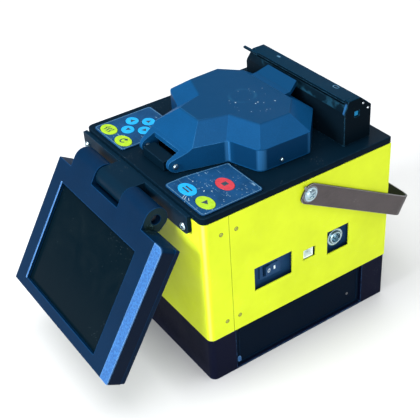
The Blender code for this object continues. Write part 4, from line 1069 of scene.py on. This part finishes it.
def build_monitor_details():
    """Pale bead left of the screen, a painted highlight along its edge, and the back cover's four
    screws.
    """
    low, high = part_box("screen_window")
    into = MONITOR_PLACE.inverted()
    start, end = sorted((into @ Vector((0, corner.y, corner.z))).z for corner in (low, high))
    inset = 2.0 * MM
    left, right = low.x + inset - 1.4 * MM, low.x + inset + 0.15 * MM
    start, end = start + inset, end - inset
    # painted highlight: a pale bead along the screen's left edge
    lip = bmesh.new()
    add_slab(lip, [(left, start), (right, start), (right, end), (left, end)], 0.0, 0.35 * MM)
    stand = Matrix.Translation((0, SCREEN_FLOOR, 0)) @ Matrix.Rotation(math.radians(90), 4, "X")
    made = add_built("screen_edge_highlight_left", lip, MONITOR_PLACE @ stand, "monitor", "strip_plastic")
    soften_edges(made, 0.15 * MM)
    turned = MONITOR_PLACE.to_3x3()
    for i, (x, z) in enumerate(BACK_SCREWS):
        centre = MONITOR_PLACE @ Vector((x * MM, MONITOR_BACK, z * MM))
        place = frame_of(centre, turned @ Y_AXIS, turned @ Z_AXIS)
        name = "monitor_back_screw_%d" % (i + 1)
        add_screw(name, place, "monitor", 2.0 * MM, 0.5 * MM, "cross", 20 * i)


build_key_marks()
build_film_prints()
build_panel_screws()
build_rocker_marks()
build_battery_details()
build_recesses()
build_handle_details()
build_heater_details()
build_monitor_details()


# ---------------------------------------------------------------- studio and camera

FLOOR_HALF = 6.0
LIGHT_AIM = (0.0, -0.02, 0.09)
LIGHTS = (                          # name, place, size in m, power in W, colour
    ("top_soft", (0.0, 0.0, 1.85), (2.1, 2.1), 70.0, (1.0, 1.0, 1.0)),
    ("fill_right", (1.5, -0.95, 0.5), (1.1, 0.8), 19.5, (1.0, 1.0, 1.0)),
    ("key_front", (-0.2, -1.75, 0.95), (0.9, 0.7), 72.0, (0.94, 0.97, 1.0)),
    ("rear_soft", (-0.9, 1.5, 0.6), (1.2, 0.6), 8.0, (0.95, 0.98, 1.0)),
)
CAMERA_LENS = 79.42                 # mm, on a sensor 36 mm wide
CAMERA_PLACE = (0.5034, -0.3425, 0.5089)
CAMERA_RIGHT = (0.5631, 0.8245, -0.0556)
CAMERA_UP = (-0.4523, 0.3638, 0.8143)
CAMERA_BACK = (0.6917, -0.4334, 0.5777)


def matte_floor():
    look = Look("studio_floor", (0.46, 0.46, 0.46), 0.9, specular=0.05)
    tone = look.mix(look.noise(3.0, 3.0), (0.455, 0.455, 0.457), (0.465, 0.465, 0.467))
    return look.finish(tone)


def build_studio():
    bm = bmesh.new()
    bm.faces.new([bm.verts.new((x, y, 0)) for x, y in rectangle(FLOOR_HALF, FLOOR_HALF)])
    mesh = mesh_from(bm, "studio_floor")
    mesh.materials.append(matte_floor())
    add_object("studio_floor", mesh)

    world = bpy.data.worlds.new("studio")
    scene.world = world
    world.use_nodes = True
    background = world.node_tree.nodes["Background"]
    background.inputs["Color"].default_value = (0.86, 0.93, 1.0, 1.0)
    background.inputs["Strength"].default_value = 0.4


def add_light(name, place, size, power, colour):
    """Rectangular soft light that faces the object."""
    data = bpy.data.lights.new(name, "AREA")
    data.shape = "RECTANGLE"
    data.size = size[0]
    data.size_y = size[1]
    data.energy = power
    data.color = colour
    light = add_object(name, data)
    light.location = place
    light.rotation_euler = (Vector(LIGHT_AIM) - Vector(place)).to_track_quat("-Z", "Y").to_euler()


def build_camera():
    data = bpy.data.cameras.new("camera")
    data.lens = CAMERA_LENS
    data.sensor_width = 36.0
    data.clip_start = 0.01
    turned = Matrix((CAMERA_RIGHT, CAMERA_UP, CAMERA_BACK)).transposed().to_4x4()
    scene.camera = add_object("camera", data)
    scene.camera.matrix_world = Matrix.Translation(CAMERA_PLACE) @ turned


scene.view_settings.view_transform = "Standard"
build_studio()
for light_row in LIGHTS:
    add_light(*light_row)
build_camera()
